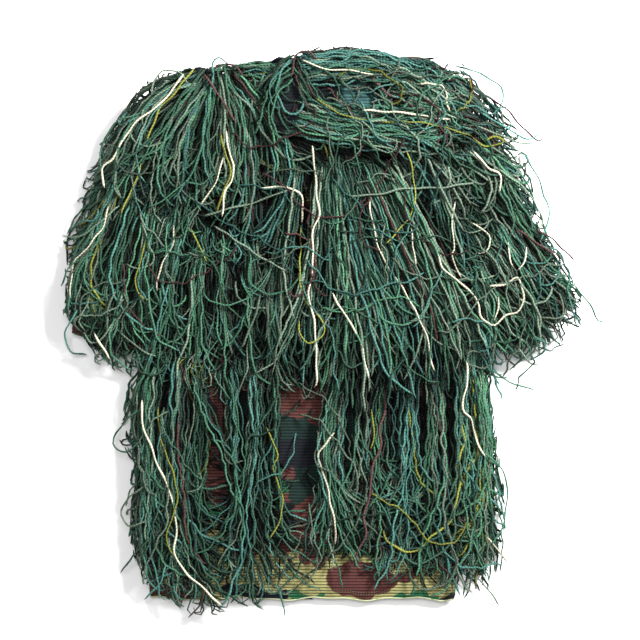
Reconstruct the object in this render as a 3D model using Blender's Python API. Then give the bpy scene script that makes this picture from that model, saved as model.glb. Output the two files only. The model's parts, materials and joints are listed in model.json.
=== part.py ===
"""Hooded ghillie jacket, lying flat on its front: the upper half of a ghillie suit.

Metres, +Z up through the garment's thickness, +Y towards the hood, +X to the right of the back, which faces
up. The origin is on the floor under the middle of the whole piece.

The garment is a stack of thin layers. From the floor up: front fringe, front panels with the zipper, the open
inside of the torso, back panel, sleeves and back fringe, yoke fringe, and the hood folded down on top.
"""

import math

import bpy
from mathutils import Vector

# ---- driving dimensions (metres) ----
HALF_WIDTH = 0.424          # from the middle to the outermost sleeve fringe
HALF_LENGTH = 0.447         # from the middle to the hood's top, and to the lowest fringe
TORSO_X = -0.043            # the torso's centreline: the right sleeve is spread wider than the left
TORSO_HALF = 0.250          # half the torso's flat width at the hem
CHEST_HALF = 0.245
HEM_Y = -0.432
NECK_Y = 0.425
NECK_HALF = 0.095
BACK_NECK_DROP = 0.012
FRONT_NECK_DROP = 0.060
SHOULDER_HALF = 0.216
SHOULDER_Y = 0.388
PIVOT_HALF = 0.205          # shoulder pivots, from the torso's centreline
PIVOT_Y = 0.315
BACK_ARMHOLE_R = 0.056
FRONT_ARMHOLE_R = 0.030
ARMHOLE_FLARE = 0.014       # how far below the armhole the panel reaches its full width

CLOTH = 0.0018
SEAM = 0.003
GAP = 0.0003                # between neighbours that touch
HEM_BAND = 0.018

SLEEVE_LENGTH = 0.345
SLEEVE_CAP_R = 0.064
CUFF_HALF = 0.070
CUFF_WIDTH = 0.016
LEFT_SLEEVE_ANGLE = math.radians(-17.5)
RIGHT_SLEEVE_ANGLE = math.radians(28.0)
SLEEVE_CLEAR = 0.076        # from a sleeve's axis to the back fringe beside it

HOOD_PIVOT_X = 0.055
HOOD_PIVOT_Y = 0.441

ZIP_GAP = 0.008             # half the gap between the front panels
ZIP_CHANNEL = 0.020         # half the gap between the front fringes
COIL_R = 0.0010
COIL_X = 0.0020
COIL_TOP_Y = 0.330
COIL_BOTTOM_Y = -0.395
TAPE_TOP_Y = 0.350
TAPE_WIDTH = 0.013
TAPE_THICKNESS = 0.0008
SLIDER_WIDTH = 0.0104
SLIDER_LENGTH = 0.013
SLIDER_PLATE = 0.0010
PULL_LENGTH = 0.026
PULL_WIDTH = 0.0072
PULL_THICKNESS = 0.0010
PULL_ARM = 0.0020
PULL_EYE = 0.0060
LUG_HALF_WIDTH = 0.0011
LUG_HALF_LENGTH = 0.0040
LUG_BELOW = 0.0018
LUG_WINDOW_HALF = 0.0026
LUG_WINDOW_HIGH = 0.0020

# ---- heights of the layers (metres above the floor) ----
FRONT_FRINGE_Z = (0.0, 0.0120)
FRONT_PANEL_Z = (FRONT_FRINGE_Z[1] + GAP, FRONT_FRINGE_Z[1] + GAP + CLOTH)
BACK_PANEL_Z = (0.0241, 0.0241 + CLOTH)
SLEEVE_UNDER_Z = (BACK_PANEL_Z[1] + GAP, BACK_PANEL_Z[1] + GAP + CLOTH)
SLEEVE_UPPER_Z = (0.0380, 0.0380 + CLOTH)
SLEEVE_FRINGE_Z = (SLEEVE_UPPER_Z[1] + GAP, 0.0660)
MIDDLE_ROW_Z = (BACK_PANEL_Z[1] + GAP, 0.0460)
UPPER_ROW_Z = (MIDDLE_ROW_Z[1] + GAP, 0.0660)
YOKE_Z = (0.0663, 0.0750)
HOOD_UNDER_Z = (YOKE_Z[1] + GAP, YOKE_Z[1] + GAP + CLOTH)
HOOD_UPPER_Z = (0.0855, 0.0855 + CLOTH)
HOOD_FRINGE_Z = (HOOD_UPPER_Z[1] + GAP, 0.1000)
SLEEVE_UNDERSIDE_Z = (0.0, BACK_PANEL_Z[1])

COLLECTION = "ghillie_jacket"
CUTTERS = "cutters"


def start_scene():
    """Clears the scene and makes the two collections."""
    for old in list(bpy.data.objects):
        bpy.data.objects.remove(old)
    for name in (COLLECTION, CUTTERS):
        bpy.context.scene.collection.children.link(bpy.data.collections.new(name))


def material(name, colour, roughness, metallic=0.0):
    made = bpy.data.materials.new(name)
    made.use_nodes = True
    shader = made.node_tree.nodes["Principled BSDF"]
    shader.inputs["Base Color"].default_value = (*colour, 1.0)
    shader.inputs["Roughness"].default_value = roughness
    shader.inputs["Metallic"].default_value = metallic
    return made


def place(obj, surface, parent=None, collection=COLLECTION):
    """Puts an object in its collection with its material, under an optional empty."""
    bpy.data.collections[collection].objects.link(obj)
    if surface is not None:
        obj.data.materials.append(surface)
    if parent is not None:
        obj.parent = parent
    return obj


def empty(name, location, turn=0.0):
    """An empty on a joint's axis, which the moving body's pieces hang from."""
    made = bpy.data.objects.new(name, None)
    made.location = location
    made.rotation_euler = (0.0, 0.0, turn)
    bpy.data.collections[COLLECTION].objects.link(made)
    return made


def plate(name, outline, heights, surface, parent=None, hole=None):
    """A flat piece: a filled 2D curve with the given outline, and an optional hole, between two heights."""
    low, high = heights
    curve = bpy.data.curves.new(name, "CURVE")
    curve.dimensions = "2D"
    curve.fill_mode = "BOTH"
    curve.extrude = (high - low) / 2
    for loop in (outline, hole):
        if loop is None:
            continue
        spline = curve.splines.new("POLY")
        spline.points.add(len(loop) - 1)
        for point, (x, y) in zip(spline.points, loop):
            point.co = (x, y, 0.0, 1.0)
        spline.use_cyclic_u = True
    made = bpy.data.objects.new(name, curve)
    made.location = (0.0, 0.0, (low + high) / 2)
    return place(made, surface, parent)


def arc(centre, radius, start_deg, end_deg, steps=8):
    """Points on a circle, both ends included."""
    angles = [math.radians(start_deg + (end_deg - start_deg) * i / steps) for i in range(steps + 1)]
    return [(centre[0] + radius * math.cos(a), centre[1] + radius * math.sin(a)) for a in angles]


def mirrored(points, centre_x=0.0):
    """The points reflected about a vertical line, in reverse order so that an outline can go on with them."""
    return [(2 * centre_x - x, y) for x, y in reversed(points)]


def beside(path, near, far):
    """The strip between two distances to the left of an open path of points."""
    def shifted(distance):
        result = []
        for i, point in enumerate(path):
            before = Vector(path[max(i - 1, 0)])
            after = Vector(path[min(i + 1, len(path) - 1)])
            along = (after - before).normalized()
            result.append((point[0] - along.y * distance, point[1] + along.x * distance))
        return result
    return shifted(near) + shifted(far)[::-1]


def tongues(start, end, count, depth, vary=0.3):
    """A fringe's free edge from start to end: rounded tongues of uneven length, to the right of the way.

    The longest one reaches exactly to the depth.
    """
    start, end = Vector(start), Vector(end)
    way = (end - start) / count
    down = Vector((way.y, -way.x)).normalized()
    lengths = [1.0 - vary * (0.5 + 0.5 * math.sin(2.4 * i + 0.7)) for i in range(count)]
    points = [tuple(start)]
    for i, length in enumerate(lengths):
        reach = depth * length / max(lengths)
        for across, share in ((0.16, 0.72), (0.38, 1.0), (0.64, 0.97), (0.86, 0.66)):
            points.append(tuple(start + way * (i + across) + down * reach * share))
        points.append(tuple(start + way * (i + 1)))
    return points


# ---- materials ----

def make_materials():
    return {
        "mesh_cloth": material("mesh_cloth", (0.065, 0.072, 0.045), 0.85),
        "trim": material("trim", (0.045, 0.055, 0.035), 0.80),
        "fringe_green": material("fringe_green", (0.030, 0.095, 0.055), 0.90),
        "fringe_dark": material("fringe_dark", (0.022, 0.045, 0.032), 0.90),
        "fringe_brown": material("fringe_brown", (0.070, 0.045, 0.035), 0.90),
        "zipper_coil": material("zipper_coil", (0.020, 0.028, 0.020), 0.45),
        "zipper_metal": material("zipper_metal", (0.050, 0.050, 0.048), 0.38, 0.9),
    }


# ---- torso ----

def torso_edge(armhole_r, neck_drop):
    """The right half of a torso panel's outline, from the middle of the neck round to the hem's corner."""
    right = TORSO_X
    pivot = (right + PIVOT_HALF, PIVOT_Y)
    neck = [
        (right + NECK_HALF * math.sin(math.radians(a)), NECK_Y - neck_drop * math.cos(math.radians(a)))
        for a in (0, 30, 60, 90)
    ]
    shoulder = [(right + SHOULDER_HALF, SHOULDER_Y)]
    armhole = arc(pivot, armhole_r, 90, 270)
    side = [(right + CHEST_HALF, PIVOT_Y - armhole_r - ARMHOLE_FLARE), (right + TORSO_HALF, HEM_Y)]
    return neck + shoulder + armhole + side


def make_torso(surfaces):
    cloth, trim = surfaces["mesh_cloth"], surfaces["trim"]
    back = torso_edge(BACK_ARMHOLE_R, BACK_NECK_DROP)
    plate("back_panel", back + mirrored(back, TORSO_X)[:-1], BACK_PANEL_Z, cloth)

    front = torso_edge(FRONT_ARMHOLE_R, FRONT_NECK_DROP)
    opening_x = TORSO_X + ZIP_GAP
    right_front = [(opening_x, front[0][1])] + front[1:] + [(opening_x, HEM_Y)]
    plate("front_panel_right", right_front, FRONT_PANEL_Z, cloth)
    plate("front_panel_left", mirrored(right_front, TORSO_X), FRONT_PANEL_Z, cloth)

    wall = (FRONT_PANEL_Z[0], BACK_PANEL_Z[1])
    side_path = back[-2:][::-1]
    right_side = beside(side_path, -GAP, -GAP - SEAM)
    plate("side_seam_right", right_side, wall, trim)
    plate("side_seam_left", mirrored(right_side, TORSO_X), wall, trim)
    shoulder_path = [back[4], back[3]]
    right_shoulder = beside(shoulder_path, -GAP, -GAP - SEAM)
    plate("shoulder_seam_right", right_shoulder, wall, trim)
    plate("shoulder_seam_left", mirrored(right_shoulder, TORSO_X), wall, trim)

    neck_path = mirrored(back[1:4], TORSO_X) + back[:4]
    plate("neck_binding", beside(neck_path, GAP, GAP + SEAM), BACK_PANEL_Z, trim)


def band(name, x_range, heights, surface):
    """A hem band, which lies against the inner face of a panel along the hem."""
    low_x, high_x = x_range
    low_y, high_y = HEM_Y, HEM_Y + HEM_BAND
    return plate(name, [(low_x, low_y), (high_x, low_y), (high_x, high_y), (low_x, high_y)], heights, surface)


def make_hems(surfaces):
    trim = surfaces["trim"]
    inset = 0.004
    left, right = TORSO_X - TORSO_HALF + inset, TORSO_X + TORSO_HALF - inset
    back_z = (BACK_PANEL_Z[0] - GAP - CLOTH, BACK_PANEL_Z[0] - GAP)
    front_z = (FRONT_PANEL_Z[1] + GAP, FRONT_PANEL_Z[1] + GAP + CLOTH)
    band("hem_band_back", (left, right), back_z, trim)
    band("hem_band_front_left", (left, TORSO_X - ZIP_GAP), front_z, trim)
    band("hem_band_front_right", (TORSO_X + ZIP_GAP, right), front_z, trim)


# ---- zipper ----

TAPE_Z = (FRONT_PANEL_Z[0] - GAP - TAPE_THICKNESS, FRONT_PANEL_Z[0] - GAP)
COIL_Z = (TAPE_Z[0] + TAPE_Z[1]) / 2
SLIDER_INNER = COIL_R + 2 * GAP          # half the height of the slider's channel
PULL_Z = COIL_Z - SLIDER_INNER - SLIDER_PLATE - 0.0022
PULL_TILT = math.asin((PULL_Z - PULL_THICKNESS / 2 - GAP) / PULL_LENGTH)
SLIDER_Y = COIL_TOP_Y - 0.012            # the slider's middle when the zipper is closed


def box(name, low, high, surface, collection=COLLECTION):
    """A box between two corners. In the cutters' collection it is hidden from renders."""
    size = [b - a for a, b in zip(low, high)]
    middle = [(a + b) / 2 for a, b in zip(low, high)]
    bpy.ops.mesh.primitive_cube_add(size=1.0)
    made = bpy.context.object
    made.name = name
    for vertex in made.data.vertices:
        vertex.co = [value * side for value, side in zip(vertex.co, size)]
    made.location = middle
    for home in list(made.users_collection):
        home.objects.unlink(made)
    if collection == CUTTERS:
        made.hide_render = True
        made.display_type = "WIRE"
    return place(made, surface, collection=collection)


def change(obj, other, operation):
    """Cuts another object out of this one, or joins it on."""
    boolean = obj.modifiers.new(f"{operation.lower()}_{other.name}", "BOOLEAN")
    boolean.operation = operation
    boolean.object = other


def make_zipper_chain(surfaces):
    for side, name in ((-1, "left"), (1, "right")):
        inner = TORSO_X + side * (COIL_X + COIL_R + GAP)
        outer = inner + side * TAPE_WIDTH
        low_x, high_x = sorted((inner, outer))
        box(f"zipper_tape_{name}", (low_x, HEM_Y, TAPE_Z[0]), (high_x, TAPE_TOP_Y, TAPE_Z[1]), surfaces["trim"])
        bpy.ops.mesh.primitive_cylinder_add(
            vertices=10, radius=COIL_R, depth=COIL_TOP_Y - COIL_BOTTOM_Y, rotation=(math.radians(90), 0, 0),
            location=(TORSO_X + side * COIL_X, (COIL_TOP_Y + COIL_BOTTOM_Y) / 2, COIL_Z))
        coil = bpy.context.object
        coil.name = f"zipper_coil_{name}"
        for home in list(coil.users_collection):
            home.objects.unlink(coil)
        place(coil, surfaces["zipper_coil"])

    half = COIL_X + COIL_R
    for side, name in ((-1, "left"), (1, "right")):
        low_x, high_x = sorted((TORSO_X + side * (COIL_X - COIL_R), TORSO_X + side * half))
        box(f"zipper_top_stop_{name}", (low_x, COIL_TOP_Y + GAP, COIL_Z - COIL_R),
            (high_x, COIL_TOP_Y + 0.005, COIL_Z + COIL_R), surfaces["zipper_metal"])
    box("zipper_bottom_stop", (TORSO_X - half, COIL_BOTTOM_Y - 0.009, COIL_Z - COIL_R),
        (TORSO_X + half, COIL_BOTTOM_Y - GAP, COIL_Z + COIL_R), surfaces["zipper_metal"])


def make_slider(surfaces):
    """Two plates joined by a post between the coils, with a lug below that holds the pull."""
    metal = surfaces["zipper_metal"]
    half = SLIDER_WIDTH / 2
    low_z, high_z = COIL_Z - SLIDER_INNER - SLIDER_PLATE, COIL_Z + SLIDER_INNER + SLIDER_PLATE
    low_y, high_y = SLIDER_Y - SLIDER_LENGTH / 2, SLIDER_Y + SLIDER_LENGTH / 2
    slider = box("zipper_slider", (TORSO_X - half, low_y, low_z), (TORSO_X + half, high_y, high_z), metal)
    post_half = COIL_X - COIL_R - GAP
    spare = 0.002
    for side, name in ((-1, "left"), (1, "right")):
        low_x, high_x = sorted((TORSO_X + side * post_half, TORSO_X + side * (half + spare)))
        channel = box(f"slider_channel_{name}", (low_x, low_y - spare, COIL_Z - SLIDER_INNER),
                      (high_x, high_y + spare, COIL_Z + SLIDER_INNER), None, CUTTERS)
        change(slider, channel, "DIFFERENCE")

    lug = box("slider_lug", (TORSO_X - LUG_HALF_WIDTH, SLIDER_Y - LUG_HALF_LENGTH, PULL_Z - LUG_BELOW),
              (TORSO_X + LUG_HALF_WIDTH, SLIDER_Y + LUG_HALF_LENGTH, low_z + SLIDER_PLATE / 2), None, CUTTERS)
    window_low, window_high = PULL_Z - LUG_WINDOW_HIGH / 2, PULL_Z + LUG_WINDOW_HIGH / 2
    window = box("slider_lug_window", (TORSO_X - spare, SLIDER_Y - LUG_WINDOW_HALF, window_low),
                 (TORSO_X + spare, SLIDER_Y + LUG_WINDOW_HALF, window_high), None, CUTTERS)
    change(slider, lug, "UNION")
    change(slider, window, "DIFFERENCE")


def make_pull(surfaces):
    """A flat tab whose eye passes through the lug. It hangs from its pivot with its far end on the floor."""
    pivot = empty("zipper_pull_pivot", (TORSO_X, SLIDER_Y, PULL_Z))
    pivot.rotation_euler.x = PULL_TILT
    half, bar, arm = PULL_WIDTH / 2, PULL_THICKNESS / 2, PULL_ARM
    outline = [(half, bar), (-half, bar), (-half, -PULL_LENGTH), (half, -PULL_LENGTH)]
    eye = [(half - arm, -bar), (half - arm, -PULL_EYE), (arm - half, -PULL_EYE), (arm - half, -bar)]
    plate("zipper_pull", outline, (-bar, bar), surfaces["zipper_metal"], pivot, hole=eye)


# ---- fringes on the torso ----

def pivot_of(side):
    return TORSO_X + side * PIVOT_HALF, PIVOT_Y


def torso_side(side, y):
    """The point at height y on the line that a resting sleeve's inner side leaves clear."""
    angle = LEFT_SLEEVE_ANGLE if side < 0 else RIGHT_SLEEVE_ANGLE
    pivot_x, pivot_y = pivot_of(side)
    start_x = pivot_x - side * SLEEVE_CLEAR * math.cos(angle)
    start_y = pivot_y - side * SLEEVE_CLEAR * math.sin(angle)
    return start_x - (y - start_y) * math.tan(angle), y


def make_torso_fringe(surfaces):
    green, dark, brown = surfaces["fringe_green"], surfaces["fringe_dark"], surfaces["fringe_brown"]
    left, right = -1, 1

    top, bottom = 0.165, -0.048
    outline = [torso_side(right, top), torso_side(left, top)]
    outline += tongues(torso_side(left, bottom), torso_side(right, bottom), 9, 0.042)
    plate("middle_back_fringe", outline, MIDDLE_ROW_Z, green)

    top, bottom = 0.405, 0.175
    outline = [torso_side(right, 0.270), (0.066, top), (-0.165, top), torso_side(left, 0.290)]
    outline += tongues(torso_side(left, bottom), torso_side(right, bottom), 6, 0.050)
    plate("upper_back_fringe", outline, UPPER_ROW_Z, green)

    top, base = -0.100, -0.385
    longest = HALF_LENGTH + base
    for name, left_x, right_x, count, depth, surface in (
            ("lower_fringe_outer_left", -0.308, -0.192, 3, longest, green),
            ("lower_fringe_inner_left", -0.180, -0.068, 3, 0.050, brown),
            ("lower_fringe_middle", -0.024, 0.026, 2, 0.058, dark),
            ("lower_fringe_inner_right", 0.040, 0.150, 3, 0.046, brown),
            ("lower_fringe_outer_right", 0.156, 0.272, 3, 0.055, green)):
        outline = [(right_x, top), (left_x, top)]
        outline += tongues((left_x, base), (right_x, base), count, depth)
        plate(name, outline, MIDDLE_ROW_Z, surface)

    outline = [(-0.112, 0.340), (-0.150, 0.418), (-0.205, 0.430), (-0.278, 0.415), (-0.318, 0.372)]
    outline += [(-0.332, 0.300)]
    outline += tongues((-0.318, 0.235), (-0.112, 0.235), 5, 0.060)
    plate("yoke_fringe_left", outline, YOKE_Z, green)
    outline = [(0.292, 0.300), (0.268, 0.372), (0.120, 0.372)]
    outline += tongues((0.116, 0.240), (0.288, 0.240), 4, 0.055)
    plate("yoke_fringe_right", outline, YOKE_Z, dark)

    for name, side, near_x, far_x in (("left", -1, -0.300, -0.306), ("right", 1, 0.212, 0.262)):
        channel_x = TORSO_X + side * ZIP_CHANNEL
        step, top, base = -0.085, 0.268, -0.400
        ends = sorted(((channel_x, base), (far_x, base)))
        outline = [(channel_x, top), (near_x, top), (near_x, step), (far_x, step - 0.02)]
        outline = outline if side < 0 else outline[::-1]
        plate(f"front_fringe_{name}", outline + tongues(*ends, 5, 0.040), FRONT_FRINGE_Z, dark)


# ---- sleeves ----

# Each sleeve hangs along its own -Y from the shoulder pivot. The outer side is given for a right sleeve and
# reflected for the left one. The underside's outline is in the jacket's own axes.
SLEEVE_SHAPES = {
    "left": {
        "angle": LEFT_SLEEVE_ANGLE,
        "outer": [(0.060, 0.062), (0.084, 0.045), (0.095, 0.0), (0.104, -0.100), (0.114, -0.175),
                  (0.102, -0.245)],
        "foot": [(0.086, -0.300), (-0.064, -0.368)],
        "underside": [(-0.302, 0.290), (-0.352, 0.285), (-0.404, 0.190), (-0.408, 0.040), (-0.372, -0.010),
                      (-0.302, -0.045)],
    },
    "right": {
        "angle": RIGHT_SLEEVE_ANGLE,
        "outer": [(0.066, 0.060), (0.098, 0.030), (0.112, -0.030), (0.116, -0.085), (0.104, -0.165),
                  (0.082, -0.235)],
        "foot": [(0.107, -0.342), (-0.064, -0.366)],
        "underside": [(0.216, -0.060), (0.300, -0.045), (0.398, 0.012), (0.404, 0.036), (0.338, 0.140),
                      (0.312, 0.270), (0.216, 0.285)],
    },
}
SLEEVE_FOOT_DEPTH = 0.032
SLEEVE_INNER_FRINGE = 0.066
UNDER_PANEL_TOP = -0.075


def trimmed(outline, pivot, angle):
    """A sleeve's outline with what would pass the overall width pulled back to it."""
    result = []
    for x, y in outline:
        world_x = pivot[0] + x * math.cos(angle) - y * math.sin(angle)
        excess = world_x - max(-HALF_WIDTH, min(HALF_WIDTH, world_x))
        result.append((x - excess * math.cos(angle), y + excess * math.sin(angle)))
    return result


def make_sleeve(name, side, surfaces):
    cloth, trim = surfaces["mesh_cloth"], surfaces["trim"]
    shape = SLEEVE_SHAPES[name]
    pivot = empty(f"{name}_sleeve_pivot", (*pivot_of(side), 0.0), shape["angle"])

    def half_width(y):
        return SLEEVE_CAP_R + (CUFF_HALF - SLEEVE_CAP_R) * y / -SLEEVE_LENGTH

    cuff = [(-CUFF_HALF, -SLEEVE_LENGTH), (CUFF_HALF, -SLEEVE_LENGTH)]
    cap = arc((0, 0), SLEEVE_CAP_R, 0, 180, 14)
    plate(f"{name}_sleeve_upper_panel", cap + cuff, SLEEVE_UPPER_Z, cloth, pivot)
    top = [(half_width(UNDER_PANEL_TOP), UNDER_PANEL_TOP), (-half_width(UNDER_PANEL_TOP), UNDER_PANEL_TOP)]
    plate(f"{name}_sleeve_under_panel", top + cuff, SLEEVE_UNDER_Z, cloth, pivot)

    wall = (SLEEVE_UNDER_Z[0], SLEEVE_UPPER_Z[1])
    right_seam = beside([top[0], cuff[1]], GAP, GAP + SEAM)
    left_seam = mirrored(right_seam)
    outer, inner = (left_seam, right_seam) if side < 0 else (right_seam, left_seam)
    plate(f"{name}_sleeve_outer_seam", outer, wall, trim, pivot)
    plate(f"{name}_sleeve_inner_seam", inner, wall, trim, pivot)

    low, high, half, middle = wall[0], wall[1], CUFF_HALF, (wall[0] + wall[1]) / 2
    rim = [(-half, low), (half, low), (half, high), (-half, high)]
    mouth = [(x * (1 - CLOTH / half), middle + (z - middle) * (1 - 2 * CLOTH / (high - low))) for x, z in rim]
    band_y = -SLEEVE_LENGTH - GAP - CUFF_WIDTH / 2
    cuff_band = plate(f"{name}_cuff_band", rim, (-CUFF_WIDTH / 2, CUFF_WIDTH / 2), trim, pivot, hole=mouth)
    cuff_band.rotation_euler.x = math.radians(90)
    cuff_band.location.y = band_y

    foot_outer, foot_inner = shape["foot"]
    inner_x = -SLEEVE_INNER_FRINGE
    fringe_cap = arc((0, 0), SLEEVE_INNER_FRINGE, 180, 90, 6)
    feet = tongues(foot_inner, foot_outer, 6, SLEEVE_FOOT_DEPTH)
    outline = [(inner_x, -0.300)] + feet + shape["outer"][::-1] + fringe_cap[::-1]
    outline = trimmed(outline if side > 0 else mirrored(outline), pivot_of(side), shape["angle"])
    plate(f"{name}_sleeve_fringe", outline, SLEEVE_FRINGE_Z, surfaces["fringe_green"], pivot)

    under_pivot = empty(f"{name}_underside_pivot", (*pivot_of(side), 0.0))
    outline = [(x - under_pivot.location.x, y - under_pivot.location.y) for x, y in shape["underside"]]
    plate(f"{name}_sleeve_underside_fringe", outline, SLEEVE_UNDERSIDE_Z, surfaces["fringe_dark"],
          under_pivot)


# ---- hood ----

def make_hood(surfaces):
    """The hood lies folded to one side: its side panels on each other, open towards the face at the left."""
    cloth, trim = surfaces["mesh_cloth"], surfaces["trim"]
    pivot = empty("hood_pivot", (HOOD_PIVOT_X, HOOD_PIVOT_Y, 0.0))
    left, right, low, high = -0.150, 0.145, -0.138, -GAP
    corner = 0.045
    panel = [(left, high), (left, low + 0.02), (left + 0.03, low)]
    panel += arc((right - corner, low + corner), corner, 270, 360, 6) + [(right, high)]
    plate("hood_under_panel", panel, HOOD_UNDER_Z, cloth, pivot)
    plate("hood_upper_panel", panel, HOOD_UPPER_Z, cloth, pivot)
    wall = (HOOD_UNDER_Z[0], HOOD_UPPER_Z[1])
    plate("hood_crown_seam", beside(panel[2:], -GAP, -GAP - SEAM), wall, trim, pivot)
    plate("hood_neck_seam", [(left, 0.0), (right, 0.0), (right, SEAM), (left, SEAM)], wall, trim, pivot)
    top, bottom = HALF_LENGTH - HOOD_PIVOT_Y, -0.146
    fringe = [(-0.115, top), (-0.080, -0.060), (-0.050, -0.128), (0.060, -0.148)]
    fringe += tongues((right, bottom), (right, top), 6, 0.050)
    plate("hood_fringe", fringe, HOOD_FRINGE_Z, surfaces["fringe_green"], pivot)


def main():
    start_scene()
    surfaces = make_materials()
    make_torso(surfaces)
    make_hems(surfaces)
    make_zipper_chain(surfaces)
    make_slider(surfaces)
    make_pull(surfaces)
    make_torso_fringe(surfaces)
    make_sleeve("left", -1, surfaces)
    make_sleeve("right", 1, surfaces)
    make_hood(surfaces)


main()
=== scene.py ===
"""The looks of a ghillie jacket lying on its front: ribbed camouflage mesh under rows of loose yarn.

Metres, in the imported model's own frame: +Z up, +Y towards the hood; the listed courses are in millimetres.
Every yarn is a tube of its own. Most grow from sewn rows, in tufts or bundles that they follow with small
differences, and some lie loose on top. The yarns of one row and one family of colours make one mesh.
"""

import functools
import json
import math
import zlib

import bpy
import numpy as np
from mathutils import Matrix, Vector


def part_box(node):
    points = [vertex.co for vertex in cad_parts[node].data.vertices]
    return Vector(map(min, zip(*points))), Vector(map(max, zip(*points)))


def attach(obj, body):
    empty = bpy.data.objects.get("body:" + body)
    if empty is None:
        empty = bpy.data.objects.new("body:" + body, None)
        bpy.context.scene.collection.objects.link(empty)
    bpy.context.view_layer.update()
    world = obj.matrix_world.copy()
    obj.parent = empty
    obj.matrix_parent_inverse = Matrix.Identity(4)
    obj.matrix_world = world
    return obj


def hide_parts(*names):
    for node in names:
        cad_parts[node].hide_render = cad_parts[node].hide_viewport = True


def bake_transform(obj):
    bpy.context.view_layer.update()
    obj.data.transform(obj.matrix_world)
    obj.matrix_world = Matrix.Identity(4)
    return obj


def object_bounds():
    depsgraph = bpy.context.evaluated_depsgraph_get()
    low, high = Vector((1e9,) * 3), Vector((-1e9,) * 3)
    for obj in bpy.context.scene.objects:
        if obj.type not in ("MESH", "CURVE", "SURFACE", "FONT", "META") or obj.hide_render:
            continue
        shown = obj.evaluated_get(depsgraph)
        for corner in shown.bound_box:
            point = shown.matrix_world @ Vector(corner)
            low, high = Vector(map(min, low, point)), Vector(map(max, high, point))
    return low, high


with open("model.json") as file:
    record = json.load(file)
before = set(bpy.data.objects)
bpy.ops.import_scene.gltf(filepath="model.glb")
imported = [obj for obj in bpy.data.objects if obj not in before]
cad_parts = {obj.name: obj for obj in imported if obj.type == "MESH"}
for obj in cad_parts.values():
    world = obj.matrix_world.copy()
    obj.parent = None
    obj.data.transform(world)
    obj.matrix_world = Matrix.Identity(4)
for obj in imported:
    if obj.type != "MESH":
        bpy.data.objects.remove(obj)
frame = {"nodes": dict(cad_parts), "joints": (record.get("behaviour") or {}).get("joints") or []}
cad_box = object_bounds()


def mm(*values):
    """Points (x, y) in metres, from a run of millimetres."""
    return np.reshape(values, (-1, 2)) / 1000


# ---- places taken from the frame ----

def box_of(node):
    return [np.array(corner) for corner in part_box(node)]


BACK_LOW, BACK_HIGH = box_of("back_panel")
FRONT_Z = box_of("front_panel_left")[1][2]
TORSO_X = (BACK_LOW[0] + BACK_HIGH[0]) / 2
TORSO_HALF = (BACK_HIGH[0] - BACK_LOW[0]) / 2
HEM_Y, NECK_Y = BACK_LOW[1], BACK_HIGH[1]
BACK_Z = BACK_HIGH[2]
HOOD_LOW, HOOD_HIGH = box_of("hood_upper_panel")
HOOD_Z = HOOD_HIGH[2]
SLEEVE_Z = box_of("left_sleeve_upper_panel")[1][2]
JOINTS = {joint["name"]: joint for joint in frame["joints"]}


class Sleeve:
    """A resting sleeve's own axes: out, away from the torso, and down, from its pivot to the cuff."""

    def __init__(self, name, side):
        self.name = name
        self.pivot = np.array(JOINTS[f"{name}_sleeve_swing"]["pos_m"][:2])
        low, high = box_of(f"{name}_cuff_band")
        reach = (low[:2] + high[:2]) / 2 - self.pivot
        self.length = float(np.linalg.norm(reach))
        self.down = reach / self.length
        self.out = np.array([self.down[1], -self.down[0]]) * -side

    def point(self, out, down):
        return self.pivot + self.out * out + self.down * down

    def heading(self, degrees_out):
        """The world heading of a yarn at this angle outwards from the sleeve's own downward direction."""
        a = math.radians(degrees_out)
        way = self.down * math.cos(a) + self.out * math.sin(a)
        return math.degrees(math.atan2(way[1], way[0]))


LEFT = Sleeve("left", -1)
RIGHT = Sleeve("right", 1)
SLEEVE_HALF = 0.070
FLOOR_Z = 0.003


def outside(x, y):
    """How far points are outside the flat garment's outline, 0 within it."""
    torso_x = np.maximum(np.abs(x - TORSO_X) - TORSO_HALF, 0)
    torso_y = np.maximum(np.maximum(HEM_Y - y, y - NECK_Y), 0)
    distance = np.hypot(torso_x, torso_y)
    for sleeve in (LEFT, RIGHT):
        rel_x, rel_y = x - sleeve.pivot[0], y - sleeve.pivot[1]
        out = rel_x * sleeve.out[0] + rel_y * sleeve.out[1]
        down = rel_x * sleeve.down[0] + rel_y * sleeve.down[1]
        beyond = np.maximum(np.maximum(-down, down - sleeve.length), 0)
        distance = np.minimum(distance, np.hypot(np.maximum(np.abs(out) - SLEEVE_HALF, 0), beyond))
    return distance


FALL = 0.034                # how far past the cloth's edge a yarn has come down to the floor
PILE_Z = 0.060              # where the hood's yarns come down to, on the shoulders' own


def resting_height(x, y, height, body):
    """Where a yarn lies: at its row's height over the cloth, coming down beyond the cloth's edge."""
    if body == "hood":
        beyond_x = np.maximum(np.maximum(HOOD_LOW[0] - x, x - HOOD_HIGH[0]), 0)
        beyond_y = np.maximum(np.maximum(HOOD_LOW[1] - y, y - HOOD_HIGH[1]), 0)
        return PILE_Z + (height - PILE_Z) * np.exp(-(np.hypot(beyond_x, beyond_y) / FALL) ** 2)
    return FLOOR_Z + (height - FLOOR_Z) * np.exp(-(outside(x, y) / FALL) ** 2)


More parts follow.
